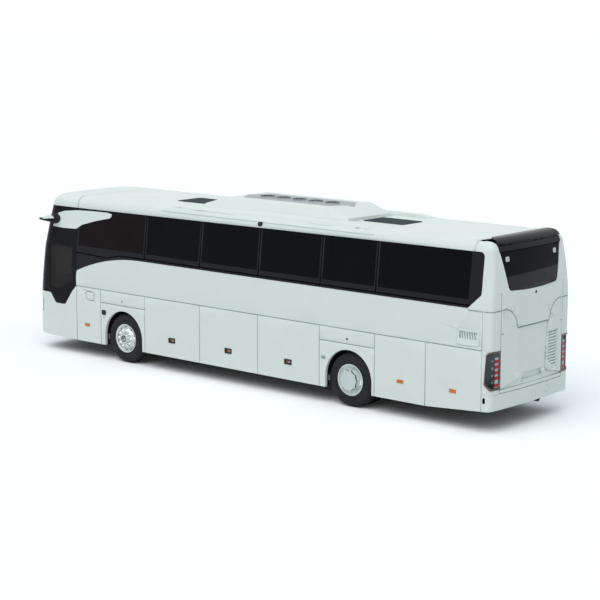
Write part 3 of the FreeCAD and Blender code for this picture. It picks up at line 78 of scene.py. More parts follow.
MM = 0.001
REAR_AXLE = (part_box("rear_axle")[0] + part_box("rear_axle")[1]) / 2
FRONT_AXLE = (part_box("front_axle")[0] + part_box("front_axle")[1]) / 2
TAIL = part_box("rear_panel")[0].x
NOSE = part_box("front_bumper")[1].x
OUTSIDE = 30 * MM
RAY_LENGTH = 1.0
NODE_TREES = {}

# Lengths from here on are in millimetres. A place along the coach is measured ahead of the rear axle,
# and a height above the floor.
MERGE = 0.002
GROOVE_REACH = 0.32
VENT_REACH = 0.5
GROOVE_LIFT = 0.02
GROOVE_DIRECTIONS = 6
FACES_BACK = -0.5
UPRIGHT = 0.9
STEEP = 0.5

# Finishes
CLOUD_SIZE = 12
GLOSS_SPREAD = 0.15
RELIEF_DEPTH = 0.05

# Edges of plates, buttons and rings: shares of the thickness or radius, facets, and angles in degrees
PLATE_EDGE = 0.25
PLATE_BEVEL = 60
PLATE_SMOOTH = 35
PLATE_CORNER_STEPS = 4
RIM_CORNER_STEPS = 5
BUTTON_SIDES = 28
BUTTON_RIM = 0.4
BUTTON_EDGE = 0.12
BUTTON_BEVEL = 40
WIRE_STEPS = (36, 8)
WIRE_SMOOTH = 60
HUB_RING_SMOOTH = 50

# Rear bumper, engine lid and rear panel
COVERS = (-0.55, -5.6)
COVER_LEVEL = 6.5
COVER_WIDE = 0.8
COVER_HIGH = 0.68
COVER_LINE = 0.11
LID_LINE = 0.12
LID_BACK = -35.9
LID_TURN = -0.8
RECESS_FOOT = 9.6
RECESS_TOP = 11.4
RECESS_HALF = 4.4
RECESS_TURN = 0.6
CORNER_JOINT = -31.25
JOINT_FOOT = 37.1
WEDGE_TIP = (-31.9, 12.15)
WEDGE_INNER = (-33.05, 3.0)
WEDGE_TAIL = (-35.2, 11.3)
WEDGE_FOOT = 37.4
WINDOW_HALF = 11.1
WINDOW_FRONT = -34
WINDOW_TOP = 36.7

# Panes
PANE_JOINTS = (62.6, 44.45, 26.3, 8.15, -7.15)
PANE_SILL = 27.3
PANE_PILLAR = 0.5
FRONT_PANE_EDGE = 85.85
REAR_PANE_EDGE = -31.0
REAR_WINDOW_TILT = 0.03

# Wheel arches, rims and brackets
ARCH_LIP = 13.95
ARCH_REACH = 7.4
DISC_PLANE = 14.28
HUB_EDGE = 1.5
RIM_WELL = 3.2
HAND_HOLES = 10
# Painted shadow ring round each front hub, as (y, radius) points
HUB_SHADOW_RING = ((14.5, 0.64), (14.64, 0.67), (14.64, 0.80), (14.5, 0.84), (14.5, 0.64))
BRACKETS = ((76.5, 5.6), (6.45, 5.55))
BRACKET_OUT = 12.6

# Fans, fairings and camera arms
FAN_WIRE = 0.05
FAN_RINGS = (0.85, 1.3)
FAN_FLATNESS = 0.7
FAN_PITCH = 4.85
FAN_COUNT = 5
FAIRING_FOOT = (12.93, 38.36)
FAIRING_SLOPE = (0.798, 0.603)
FAIRING_MIDDLE = 26.2
FAIRING_DROP = 0.08
FAIRING_TIP = (-0.6, 12.35, 38.87)
TIP_SLOPE = (0.62, 0.785)
ARM_ROOT = 15.6
ARM_TURN = 0.25

# Places of the small fittings: along the coach and up on its sides, or across and up on its ends
FLAP_LOCKS = ((70.4, 15.0), (0.36, 15.07))
FLAP_HANDLES = ((53.56, 7.68), (35.36, 7.71), (17.3, 7.69))
HANDLE_HALF = 0.36
MIDDLE_DOOR_FRONT = 18
SIDE_LENS_AT = (6.95, 10.2)
TOW_HOLE_AT = (-35.4, 6.95)
TANK_SOCKET_AT = (76.8, 11.64)
TANK_DOT_AT = (76.8, 10.45)
VENT_MIDDLE = (-31.25, 19.52)
VENT_CLEAR = 3.2
SENSOR_AT = (8.7, 35.4)
LID_LOCK_AT = (-0.5, 27.75)
LID_LOCK_SINK = 0.042
LID_SLOT_AT = (0, 20.5)
LID_SLOT_SHIFT = Vector((0.35, 0, 0.55))
LOUVRE_AT = (-7.6, 14.28)
LOUVRE_SHIFT = Vector((0.42, 0, 0.45))
HEADLAMP_LEVEL = 11.15
HEADLAMP_ROUNDS = ((10.2, 0.95), (12.2, 0.8))
TAIL_LAMP_OUT = 13.75
TAIL_LAMP_ROUNDS = ((15.2, 0.26), (13.7, 0.3), (12.2, 0.26), (10.8, 0.2))

# Plates: width, height, thickness and corner radius
HANDLE_PLATE = (0.72, 0.76, 0.1, 0.08)
SIDE_LENS = (1.2, 0.95, 0.1, 0.2)
SIDE_LENS_SLOT = (0.85, 0.2, 0.16, 0.08)
TOW_HOLE_SHADE = (0.62, 1.25, 0.04, 0.3)
TANK_SOCKET = (1.5, 1.25, 0.14, 0.3)
TANK_LID = (1.05, 0.85, 0.2, 0.2)
VENT_OUTLINE = (5.75, 3.6, 0.05, 0.55)
VENT_OUTLINE_BAND = 0.2
VENT_RIM = (5.5, 3.35, 0.16, 0.45)
VENT_RIM_BAND = 0.42
SENSOR = (1.2, 1.0, 0.06, 0.12)
LID_SLOT = (11.8, 0.7, 0.1, 0.05)
# Louvre shade: the plate of painted shade behind the louvre's slats
LOUVRE_SHADE = (3.6, 7.6, 0.06, 0.1)
BRACKET = (0.6, 1.3, 1.9, 0.12)
FAIRING_SKIRT = (63.5, 0.95, 0.18, 0.45)
FAIRING_JOINT = (63.6, 1.0, 0.1, 0.45)
FAIRING_END = (3.6, 0.8, 0.26, 0.3)

# Buttons: radius and height
FAN_CAP = (0.42, 0.12)
TANK_DOT = (0.17, 0.08)
LID_LOCK = (0.36, 0.12)
LID_LOCK_DENT = 0.08
HAND_HOLE_SHADE = (0.17, 0.12)
HAND_HOLE_DENT = 0.6
FLAP_LOCK_HEIGHT = 0.1
HEADLAMP_ROUND_HEIGHT = 0.16
TAIL_LAMP_ROUND_HEIGHT = 0.08

# Studio: the floor as it lights the coach and as it is seen, the sky from low to high, and the lamps as
# strength, spread in degrees and the direction they shine from
FLOOR_LIT = (0.74, 0.76, 0.76, 1)
FLOOR_SEEN = (1.08, 1.08, 1.06, 1)
SKY_LOW = (0.30, 0.32, 0.325)
SKY_HIGH = (0.74, 0.81, 0.90)
SKY_STRENGTH = 0.85
SUNS = {"key_light": (1.22, 60, (-0.10, 0.55, 0.92)), "fill_light": (0.28, 80, (-0.62, 0.78, 0.35))}


def ahead(length):
    """X of a place that lies this many millimetres ahead of the rear axle."""
    return REAR_AXLE.x + length * MM


def colour_field(name, description, default):
    """Colour property with its swatch."""
    return FloatVectorProperty(name=name, description=description, subtype="COLOR", size=3, min=0, max=1,
                               default=default)


def length_field(name, description, default):
    """Length property in metres."""
    return FloatProperty(name=name, description=description, default=default * MM, min=0, unit="LENGTH",
                         precision=5)


class CoachColours(bpy.types.PropertyGroup):
    """Colours of the coach's finishes."""

    paint: colour_field("Paint", "White body paint", (0.755, 0.815, 0.762))
    seam: colour_field("Seams", "Shade that lies in the engraved panel joints", (0.50, 0.59, 0.62))
    # Soft seams: also painted shade in the lid's hand recess and behind the louvre
    soft_seam_and_shade: colour_field("Soft seams", "Paler shade in the joints of the rear end", (0.58, 0.66, 0.67))
    slot_blue: colour_field("Lid slot", "Blue-grey shade in the slot over the engine lid", (0.27, 0.35, 0.42))
    gloss_black: colour_field("Gloss black", "Front mask", (0.013, 0.013, 0.015))
    spoiler: colour_field("Spoiler", "Gloss black of the rear spoiler", (0.010, 0.012, 0.015))
    glass: colour_field("Glass", "Tint of the side and rear windows", (0.003, 0.004, 0.006))
    front_pane: colour_field("Front pane", "Browner tint of the foremost side pane", (0.009, 0.0065, 0.0075))
    glass_frame: colour_field("Glass frames", "Printed frames round the side panes", (0.016, 0.017, 0.020))
    # Pane joints: also painted shade in the front rims' hand holes and the tow holes
    joint_black_and_hole_shade: colour_field("Pane joints", "Deep black between the panes", (0.002, 0.002, 0.002))
    # Rear glass: painted reflection, the lighter colour of the rear window's lower half
    rear_reflection: colour_field("Rear glass", "Lighter foot of the rear window", (0.022, 0.023, 0.027))
    cab_glass: colour_field("Cab glass", "Tint of the windscreen and driver's window", (0.021, 0.018, 0.017))
    # Black plastic: also painted shade in the wheel arches, on the rear discs' edges and round the front hubs
    black_plastic: colour_field("Black plastic", "Base plate, liners and small trims", (0.009, 0.009, 0.010))
    dark_hatch: colour_field("Hatches", "Roof hatches", (0.05, 0.06, 0.064))
    plate_grey: colour_field("Roof plate", "Grey plate under the fans", (0.44, 0.48, 0.472))
    rubber: colour_field("Rubber", "Tyres", (0.013, 0.015, 0.017))
    chrome: colour_field("Chrome", "Plated rims", (0.56, 0.60, 0.60))
    silver: colour_field("Silver", "Painted discs of the rear wheels", (0.56, 0.63, 0.62))
    # Bright plating: painted highlight in the wells of the rear rims
    plating_painted_highlight: colour_field("Bright plating", "Wells of the rear rims", (0.78, 0.84, 0.82))
    steel: colour_field("Steel", "Axle pins", (0.42, 0.43, 0.44))
    red_lens: colour_field("Red lenses", "Tail lamp lenses", (0.42, 0.010, 0.016))
    clear_lens: colour_field("Clear lenses", "Pale strips and small lenses", (0.48, 0.50, 0.49))
    orange_lens: colour_field("Orange lenses", "Side markers", (0.72, 0.17, 0.035))
    lamp_grey: colour_field("Lamp housings", "Tail lamp housings", (0.050, 0.058, 0.063))
    lamp_reflector: colour_field("Reflectors", "Round reflectors of the lamps", (0.20, 0.215, 0.23))
    headlamp_dark: colour_field("Headlamps", "Smoky headlamp housings", (0.075, 0.082, 0.09))
    bezel_bronze: colour_field("Bezels", "Plating round the tail lamps", (0.15, 0.11, 0.10))
    bracket_grey: colour_field("Brackets", "Chassis brackets", (0.16, 0.185, 0.18))
    bright_white: colour_field("Bright white", "Side lenses and window sensors", (0.52, 0.56, 0.55))
    seat: colour_field("Seats", "Moulded seats", (0.06, 0.065, 0.08))


class CoachSizes(bpy.types.PropertyGroup):
    """Sizes of the small fittings that are added here."""

    smooth_angle: FloatProperty(name="Smooth angle", description="Edges flatter than this are shaded smooth",
                                default=math.radians(28), subtype="ANGLE")
    crisp_angle: FloatProperty(name="Crisp angle", description="Smooth angle of the rear end's panels",
                               default=math.radians(14), subtype="ANGLE")
    ring_steps: IntProperty(name="Ring steps", description="Facets round a turned ring", default=64, min=24)
    hand_hole_circle: length_field("Hand hole circle", "Radius of the ring of hand holes in a front rim", 2.8)
    lock_radius: length_field("Lock radius", "Radius of a flap lock", 0.24)
    # Rear window split: height where the painted reflection on the rear window begins
    window_split: length_field("Rear window split", "Height of the rear window's lighter foot", 32.1)
    floor_size: FloatProperty(name="Floor size", description="Side of the studio floor", default=6.0,
                              unit="LENGTH")


class CoachView(bpy.types.PropertyGroup):
    """Camera of the studio, placed from the rear axle's foot on the floor."""

    lens: FloatProperty(name="Lens", description="Focal length on a 36 mm sensor", default=103.78,
                        unit="CAMERA")
    yaw: FloatProperty(name="Yaw", description="Direction of view about the vertical",
                       default=math.radians(-49.204), subtype="ANGLE")
    pitch: FloatProperty(name="Pitch", description="Downward tilt of the view", default=math.radians(9.898),
                         subtype="ANGLE")
    roll: FloatProperty(name="Roll", description="Turn about the line of view", default=math.radians(0.132),
                        subtype="ANGLE")
    place: FloatVectorProperty(name="Place", description="Camera from the rear axle's foot", subtype="XYZ",
                               unit="LENGTH", size=3, default=(-230.195 * MM, 297.272 * MM, 87.173 * MM))


def colours():
    """The colour settings."""
    return bpy.context.scene.coach_colours


def sizes():
    """The size settings."""
    return bpy.context.scene.coach_sizes


# Materials
def node_of(tree, kind, **values):
    """New shader node with its settings."""
    made = tree.nodes.new(kind)
    for key, value in values.items():
        setattr(made, key, value)
    return made


def noise_at(tree, scale, detail=3.0):
    """Noise on object coordinates; scale counts waves a metre."""
    place = node_of(tree, "ShaderNodeTexCoord")
    noise = node_of(tree, "ShaderNodeTexNoise")
    noise.inputs["Scale"].default_value = scale
    noise.inputs["Detail"].default_value = detail
    tree.links.new(place.outputs["Object"], noise.inputs["Vector"])
    return noise


def ramp_of(tree, source, low, high, start=0.35, end=0.65):
    """Colour ramp between two colours, driven by a factor."""
    ramp = node_of(tree, "ShaderNodeValToRGB")
    ramp.color_ramp.elements[0].position = start
    ramp.color_ramp.elements[0].color = (*low, 1)
    ramp.color_ramp.elements[1].position = end
    ramp.color_ramp.elements[1].color = (*high, 1)
    tree.links.new(source, ramp.inputs["Fac"])
    return ramp


def shade(colour, factor):
    """Colour made darker or lighter by a factor."""
    return tuple(min(1, channel * factor) for channel in colour)


def finish(name, colour, roughness, variation=0.03, grain=900, bump=0.02, **sockets):
    """Procedural surface: slight unevenness of colour, gloss and relief over the base colour."""
    name = "coach_" + name
    if name in bpy.data.materials:
        return bpy.data.materials[name]
    material = bpy.data.materials.new(name)
    material.use_nodes = True
    tree = material.node_tree
    surface = tree.nodes["Principled BSDF"]
    cloud = noise_at(tree, grain / CLOUD_SIZE, 2.0)
    tone = ramp_of(tree, cloud.outputs["Fac"], shade(colour, 1 - variation), shade(colour, 1 + variation))
    tree.links.new(tone.outputs["Color"], surface.inputs["Base Color"])
    grit = noise_at(tree, grain)
    gloss = node_of(tree, "ShaderNodeMapRange")
    gloss.inputs["To Min"].default_value = roughness * (1 - GLOSS_SPREAD)
    gloss.inputs["To Max"].default_value = min(1, roughness * (1 + GLOSS_SPREAD))
    tree.links.new(grit.outputs["Fac"], gloss.inputs["Value"])
    tree.links.new(gloss.outputs["Result"], surface.inputs["Roughness"])
    relief = node_of(tree, "ShaderNodeBump")
    relief.inputs["Strength"].default_value = bump
    relief.inputs["Distance"].default_value = RELIEF_DEPTH * MM
    tree.links.new(grit.outputs["Fac"], relief.inputs["Height"])
    tree.links.new(relief.outputs["Normal"], surface.inputs["Normal"])
    for socket, value in sockets.items():
        surface.inputs[socket.replace("_", " ")].default_value = value
    return material


def white_paint():
    """Satin white paint on smooth plastic."""
    return finish("white_paint", colours().paint, 0.36, 0.012, 1500, 0.012, Specular_IOR_Level=0.14)


def seam_shade():
    """Grey that settles in the engraved joints."""
    return finish("seam_shade", colours().seam, 0.6, 0.08, 2500, 0.05)


def soft_seam_and_shade():
    """Paler shade in the joints of the rear end; also painted shade on the walls of the lid's hand recess and
    behind the louvre.
    """
    return finish("soft_seam_and_shade", colours().soft_seam_and_shade, 0.6, 0.06, 2500, 0.05)


def slot_blue():
    """Blue-grey shade in the slot over the engine lid."""
    return finish("slot_blue", colours().slot_blue, 0.6, 0.06, 2500, 0.05)


def gloss_black():
    """Gloss black paint of the front mask."""
    return finish("gloss_black", colours().gloss_black, 0.14, 0.15, 1200, 0.006, Specular_IOR_Level=0.04)


def spoiler_black():
    """Gloss black paint of the spoiler, with a brighter sheen."""
    return finish("spoiler_black", colours().spoiler, 0.2, 0.12, 1200, 0.008, Specular_IOR_Level=0.10)


def tinted(name, colour, alpha, level):
    """Smooth tinted window plastic that lets a little light through."""
    return finish(name, colour, 0.10, 0.1, 300, 0.004, Alpha=alpha, Specular_IOR_Level=level)


def side_tint():
    """Near-opaque dark glazing of the passenger windows."""
    return tinted("side_tint", colours().glass, 0.92, 0.05)


def front_pane_tint():
    """Browner glazing of the foremost side panes."""
    return tinted("front_pane_tint", colours().front_pane, 0.92, 0.05)


def glass_frame():
    """Charcoal frame printed round the panes."""
    return finish("glass_frame", colours().glass_frame, 0.2, 0.08, 900, 0.004, Specular_IOR_Level=0.08)


def joint_black_and_hole_shade():
    """Deep black of the joints between panes and of the rear panel's black areas; also painted shade in the
    hand holes and tow holes.
    """
    return finish("joint_black_and_hole_shade", colours().joint_black_and_hole_shade, 0.8, 0.3, 1500, 0.01, Specular_IOR_Level=0.0)


def rear_painted_reflection():
    """Painted reflection: lighter colour on the rear window's lower half."""
    return tinted("rear_painted_reflection", colours().rear_reflection, 0.96, 0.1)


def cab_tint():
    """Brownish glazing of the windscreen, the cab window and the front door."""
    return tinted("cab_tint", colours().cab_glass, 0.72, 0.12)


def black_plastic():
    """Matt black moulded plastic; also painted shade inside the wheel arches, on the rear discs' edges and
    round the front hubs.
    """
    return finish("black_plastic", colours().black_plastic, 0.5, 0.12, 2200, 0.1, Specular_IOR_Level=0.3)


def rubber():
    """Charcoal tyre rubber with a fine mould texture."""
    return finish("rubber", colours().rubber, 0.6, 0.10, 2600, 0.12, Specular_IOR_Level=0.2)


def chrome():
    """Bright plating on plastic."""
    return finish("chrome", colours().chrome, 0.24, 0.03, 700, 0.001, Metallic=1.0)


def silver_paint():
    """Pale silver paint of the rear discs."""
    return finish("silver_paint", colours().silver, 0.32, 0.03, 1400, 0.01, Metallic=0.25)


def plating_painted_highlight():
    """Plating made brightest as a painted highlight, in the wells of the rear rims."""
    return finish("plating_painted_highlight", colours().plating_painted_highlight, 0.2, 0.03, 900, 0.002, Metallic=0.4)


def steel():
    """Plain steel pin."""
    return finish("steel", colours().steel, 0.32, 0.08, 1800, 0.06, Metallic=1.0)


def dark_hatch():
    """Dark grey moulded hatch."""
    return finish("dark_hatch", colours().dark_hatch, 0.75, 0.08, 1800, 0.06, Specular_IOR_Level=0.04)


def plate_grey():
    """Mid grey plate."""
    return finish("plate_grey", colours().plate_grey, 0.6, 0.05, 1800, 0.06, Specular_IOR_Level=0.1)


def lens(name, colour):
    """Glossy lens plastic."""
    return finish(name, colour, 0.16, 0.08, 1500, 0.03, Specular_IOR_Level=0.3)


def red_lens():
    """Red lens."""
    return lens("red_lens", colours().red_lens)


def clear_lens():
    """Clear lens over a pale reflector."""
    return lens("clear_lens", colours().clear_lens)


def orange_lens():
    """Orange lens."""
    return lens("orange_lens", colours().orange_lens)


def lamp_grey():
    """Dark grey lamp housing seen through its cover."""
    return finish("lamp_grey", colours().lamp_grey, 0.2, 0.35, 2600, 0.08, Specular_IOR_Level=0.12)


def lamp_reflector():
    """Bright round reflector behind a lamp's cover."""
    return finish("lamp_reflector", colours().lamp_reflector, 0.22, 0.1, 2600, 0.05, Metallic=0.9)


def headlamp_dark():
    """Smoky housing of a headlamp behind its gloss cover."""
    return finish("headlamp_dark", colours().headlamp_dark, 0.12, 0.2, 1800, 0.02, Specular_IOR_Level=0.5)


def bracket_grey():
    """Grey moulding of the chassis brackets."""
    return finish("bracket_grey", colours().bracket_grey, 0.5, 0.08, 1800, 0.06)


def bright_white():
    """Gloss white of the small side lenses and the window sensors."""
    return finish("bright_white", colours().bright_white, 0.2, 0.03, 1500, 0.01, Specular_IOR_Level=0.3)


def bezel_bronze():
    """Brownish plating round the tail lamps."""
    return finish("bezel_bronze", colours().bezel_bronze, 0.32, 0.1, 1500, 0.04, Metallic=0.7)


def seat_plastic():
    """Dull moulded plastic of the seats, with a woven-looking grain."""
    return finish("seat_plastic", colours().seat, 0.8, 0.15, 3200, 0.3)


# Making pieces
def settle():
    """Object mode with nothing selected."""
    if bpy.context.mode != "OBJECT":
        bpy.ops.object.mode_set(mode="OBJECT")
    bpy.ops.object.select_all(action="DESELECT")


def activate(piece):
    """Make one piece the only one selected."""
    settle()
    piece.select_set(True)
    bpy.context.view_layer.objects.active = piece


def edit(piece, kind="FACE", test=None):
    """Edit mode on a piece; all of it selected, or what passes the test."""
    activate(piece)
    items = {"FACE": piece.data.polygons, "EDGE": piece.data.edges, "VERT": piece.data.vertices}[kind]
    bpy.ops.object.mode_set(mode="EDIT")
    bpy.ops.mesh.select_mode(type=kind)
    bpy.ops.mesh.select_all(action="DESELECT" if test else "SELECT")
    bpy.ops.object.mode_set(mode="OBJECT")
    if test:
        for item in items:
            item.select = bool(test(item))
    bpy.ops.object.mode_set(mode="EDIT")


def smooth(piece, angle=None):
    """Shade smooth across the flatter edges."""
    activate(piece)
    bpy.ops.object.shade_smooth_by_angle(angle=angle or sizes().smooth_angle)


def apply_bevel(piece, width, angle):
    """Round the edges that are sharper than an angle in degrees."""
    activate(piece)
    bevel = piece.modifiers.new("edge", "BEVEL")
    bevel.width = width
    bevel.segments = 2
    bevel.limit_method = "ANGLE"
    bevel.angle_limit = math.radians(angle)
    bevel.harden_normals = False
    bpy.ops.object.modifier_apply(modifier=bevel.name)


def dress(piece, name, body, material):
    """Name, material and body of a finished piece."""
    piece.name = name
    piece.data.name = name
    if material:
        piece.data.materials.clear()
        piece.data.materials.append(material)
    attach(piece, body)
    return piece


def seat_mesh(piece):
    """Move the object's place into its mesh."""
    activate(piece)
    bpy.ops.object.transform_apply(location=True, rotation=True, scale=True)


def merged_copy(node, name, slot, material, cuts=(), angle=None, shape=None):
    """Smooth-shaded copy of a node's mesh, cut across by the planes given, which then stands for the node."""
    source = frame["nodes"][node]
    settle()
    piece = bpy.data.objects.new(name, source.data.copy())
    bpy.context.scene.collection.objects.link(piece)
    edit(piece)
    bpy.ops.mesh.remove_doubles(threshold=MERGE * MM)
    for place, across in cuts:
        bpy.ops.mesh.select_all(action="SELECT")
        bpy.ops.mesh.bisect(plane_co=place, plane_no=across)
    bpy.ops.object.mode_set(mode="OBJECT")
    if shape:
        shape(piece)
    smooth(piece, angle)
    even_out(piece)
    dress(piece, name, source["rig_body"], material)
    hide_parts(node)
    return piece


def painted(node, **shaping):
    """White copy of a node."""
    return merged_copy(node, "painted_" + node, "white_paint", white_paint(), **shaping)


def even_out(piece):
    """Let the broad faces lead the shading, and keep the sharp edges."""
    activate(piece)
    even = piece.modifiers.new("even", "WEIGHTED_NORMAL")
    even.keep_sharp = True
    bpy.ops.object.modifier_apply(modifier=even.name)


def shade_grooves(piece, reach, material):
    """Give the walls and floors of narrow grooves their own material."""
    piece.data.materials.append(material)
    index = len(piece.data.materials) - 1
    tree = tree_of(piece.data)
    for face in piece.data.polygons:
        start = face.center + face.normal * GROOVE_LIFT * MM
        if lies_in_groove(tree, start, face.normal, reach * MM):
            face.material_index = index


def lies_in_groove(tree, start, normal, reach):
    """Whether a wall stands close in front of a place, or close on two opposite sides of it."""
    if faces_wall(tree, start, normal, reach):
        return True
    side = normal.orthogonal().normalized()
    across = normal.cross(side)
    for step in range(GROOVE_DIRECTIONS):
        turn = math.pi * step / GROOVE_DIRECTIONS
        line = side * math.cos(turn) + across * math.sin(turn)
        if faces_wall(tree, start, line, reach) and faces_wall(tree, start, -line, reach):
            return True
    return False


def faces_wall(tree, start, line, reach):
    """Whether a wall that looks back stands within reach."""
    place, normal, index, distance = tree.ray_cast(start, line, reach)
    return place is not None and normal.dot(line) < FACES_BACK


def tree_of(data):
    """Ray-cast tree of a mesh."""
    mesh = bmesh.new()
    mesh.from_mesh(data)
    tree = BVHTree.FromBMesh(mesh)
    mesh.free()
    return tree


def landing(node, start, line):
    """Place and outward direction where a line from outside first meets a node."""
    if node not in NODE_TREES:
        NODE_TREES[node] = tree_of(frame["nodes"][node].data)
    place, normal, index, distance = NODE_TREES[node].ray_cast(Vector(start), Vector(line), RAY_LENGTH)
    if place is None:
        raise RuntimeError("no surface of " + node + " to stand on")
    return place, normal


def on_side(node, length, height, side=1):
    """Landing on a node's flank, at millimetres ahead of the rear axle and above the floor."""
    return landing(node, (ahead(length), side * OUTSIDE, height * MM), (0, -side, 0))


def on_tail(node, across, height):
    """Landing on a node's rear."""
    return landing(node, (TAIL - OUTSIDE, across * MM, height * MM), (1, 0, 0))


def on_nose(node, across, height):
    """Landing on a node's front."""
    return landing(node, (NOSE + OUTSIDE, across * MM, height * MM), (-1, 0, 0))


def fit(piece, place, normal):
    """Stand a piece that was made about the origin on a surface, its own Z outwards."""
    piece.rotation_mode = "QUATERNION"
    piece.rotation_quaternion = normal.to_track_quat("Z", "Y")
    piece.location = place
    seat_mesh(piece)


def tile(name, landed, size, material):
    """Thin plate with rounded corners and softened edges, half sunk in what carries it."""
    width, height, thick, corner = (length * MM for length in size)
    settle()
    bpy.ops.mesh.primitive_cube_add(size=1, location=(0, 0, 0), scale=(width, height, thick))
    piece = bpy.context.object
    seat_mesh(piece)
    edit(piece, "EDGE", lambda edge: abs(edge_line(piece, edge).z) > UPRIGHT)
    bpy.ops.mesh.bevel(offset=corner, segments=PLATE_CORNER_STEPS, affect="EDGES", clamp_overlap=True)
    bpy.ops.object.mode_set(mode="OBJECT")
    seat_plate(piece, thick, landed)
    return dress(piece, name, "coach", material)


def rim_plate(name, landed, size, band, material):
    """Flat rounded frame, half sunk in what carries it."""
    width, height, thick, corner = (length * MM for length in size)
    settle()
    bpy.ops.mesh.primitive_plane_add(size=1, location=(0, 0, 0))
    piece = bpy.context.object
    piece.scale = (width, height, 1)
    seat_mesh(piece)
    edit(piece, "VERT")
    bpy.ops.mesh.bevel(offset=corner, segments=RIM_CORNER_STEPS, affect="VERTICES", clamp_overlap=True)
    bpy.ops.mesh.select_mode(type="FACE")
    bpy.ops.mesh.select_all(action="SELECT")
    bpy.ops.mesh.inset(thickness=band * MM)
    bpy.ops.mesh.delete(type="FACE")
    bpy.ops.object.mode_set(mode="OBJECT")
    solid = piece.modifiers.new("solid", "SOLIDIFY")
    solid.thickness = thick
    solid.offset = 0
    bpy.ops.object.modifier_apply(modifier=solid.name)
    seat_plate(piece, thick, landed)
    return dress(piece, name, "coach", material)


def seat_plate(piece, thick, landed):
    """Soften a plate's edges and stand it on its place."""
    apply_bevel(piece, thick * PLATE_EDGE, PLATE_BEVEL)
    smooth(piece, math.radians(PLATE_SMOOTH))
    fit(piece, *landed)


def button(name, landed, size, material, body="coach", dent=0.5):
    """Round button with a softened edge and a dished middle, half sunk in what carries it."""
    radius, height = (length * MM for length in size)
    settle()
    bpy.ops.mesh.primitive_cylinder_add(vertices=BUTTON_SIDES, radius=radius, depth=height,
                                        location=(0, 0, 0))
    piece = bpy.context.object
    seat_mesh(piece)
    edit(piece, "FACE", lambda face: face.normal.z > UPRIGHT)
    bpy.ops.mesh.inset(thickness=radius * BUTTON_RIM)
    bpy.ops.transform.translate(value=(0, 0, -height * dent))
    bpy.ops.object.mode_set(mode="OBJECT")
    apply_bevel(piece, radius * BUTTON_EDGE, BUTTON_BEVEL)
    smooth(piece, math.radians(PLATE_SMOOTH))
    fit(piece, *landed)
    return dress(piece, name, body, material)


def copied(piece, shift):
    """Copy of a piece, with its own mesh, moved by a distance."""
    other = piece.copy()
    other.data = piece.data.copy()
    bpy.context.scene.collection.objects.link(other)
    other.parent = None
    other.data.transform(Matrix.Translation(shift))
    return other


def edge_line(piece, edge):
    """Unit direction of an edge."""
    start, end = (piece.data.vertices[index].co for index in edge.vertices)
    return (end - start).normalized()


def turned(centre, profile, steps):
    """Closed ring turned about the axle through centre, from (y, radius) points that end where they start."""
    settle()
    y, radius = profile[0]
    bpy.ops.mesh.primitive_circle_add(vertices=steps, radius=radius, fill_type="NOTHING",
                                      location=(centre.x, y, centre.z), rotation=(math.pi / 2, 0, 0))
    piece = bpy.context.object
    seat_mesh(piece)
    edit(piece, "EDGE")
    for next_y, next_radius in profile[1:]:
        bpy.ops.mesh.extrude_edges_move()
        share = next_radius / radius
        bpy.ops.transform.resize(value=(share, 1, share), center_override=(centre.x, y, centre.z))
        bpy.ops.transform.translate(value=(0, next_y - y, 0))
        y, radius = next_y, next_radius
    bpy.ops.mesh.select_all(action="SELECT")
    bpy.ops.mesh.remove_doubles(threshold=MERGE * MM)
    bpy.ops.mesh.select_all(action="SELECT")
    bpy.ops.mesh.normals_make_consistent(inside=False)
    bpy.ops.object.mode_set(mode="OBJECT")
    return piece


def join(pieces, name):
    """Join pieces into the first of them."""
    settle()
    for piece in pieces:
        piece.select_set(True)
    bpy.context.view_layer.objects.active = pieces[0]
    if len(pieces) > 1:
        bpy.ops.object.join()
    pieces[0].name = name
    pieces[0].data.name = name
    return pieces[0]


# Operators
class CoachOperator:
    """What the coach's operators share."""

    bl_options = {"REGISTER", "UNDO"}


class COACH_OT_paintwork(CoachOperator, bpy.types.Operator):
    """White panels with their engraved joints, and painted shade in the wheel arches, in the lid's hand
    recess and between the vents' slats
    """

    bl_idname = "coach.paintwork"
    bl_label = "Paintwork"

    def execute(self, context):
        for node in ("front_bumper", "middle_door"):
            shade_grooves(painted(node), GROOVE_REACH, seam_shade())
        shade_covers(painted("rear_bumper", cuts=cover_cuts()))
        crisp = sizes().crisp_angle
        shade_lid(painted("engine_lid", angle=crisp, shape=edge_lid))
        paint_tail(painted("rear_panel", cuts=wedge_cuts(), angle=crisp))
        lips = [((0, side * ARCH_LIP * MM, 0), (0, 1, 0)) for side in (1, -1)]
        paint_arch_shade(painted("body_shell", cuts=lips))
        for node in ("roof_cowl", "pillar_blades", "rear_louvre"):
            painted(node)
        # Painted shade between the side vents' slats, in the seams' colour
        shade_grooves(painted("side_vents", angle=crisp), VENT_REACH, seam_shade())
        return {"FINISHED"}


def cover_cuts():
    """Planes along the outlines of the rear bumper's two small covers."""
    cuts = []
    for inset in (0, COVER_LINE):
        for side in (-1, 1):
            cuts += [((0, (across + side * (COVER_WIDE - inset)) * MM, 0), (0, 1, 0)) for across in COVERS]
            cuts.append(((0, 0, (COVER_LEVEL + side * (COVER_HIGH - inset)) * MM), (0, 0, 1)))
    return cuts


def shade_covers(bumper):
    """Joints of the rear bumper, and the outlines of its two covers."""
    shade_grooves(bumper, GROOVE_REACH, seam_shade())
    for face in bumper.data.polygons:
        up = abs(face.center.z / MM - COVER_LEVEL) - COVER_HIGH
        away = min(abs(face.center.y / MM - across) for across in COVERS) - COVER_WIDE
        if face.normal.x < FACES_BACK and -COVER_LINE < max(up, away) < 0:
            face.material_index = 1


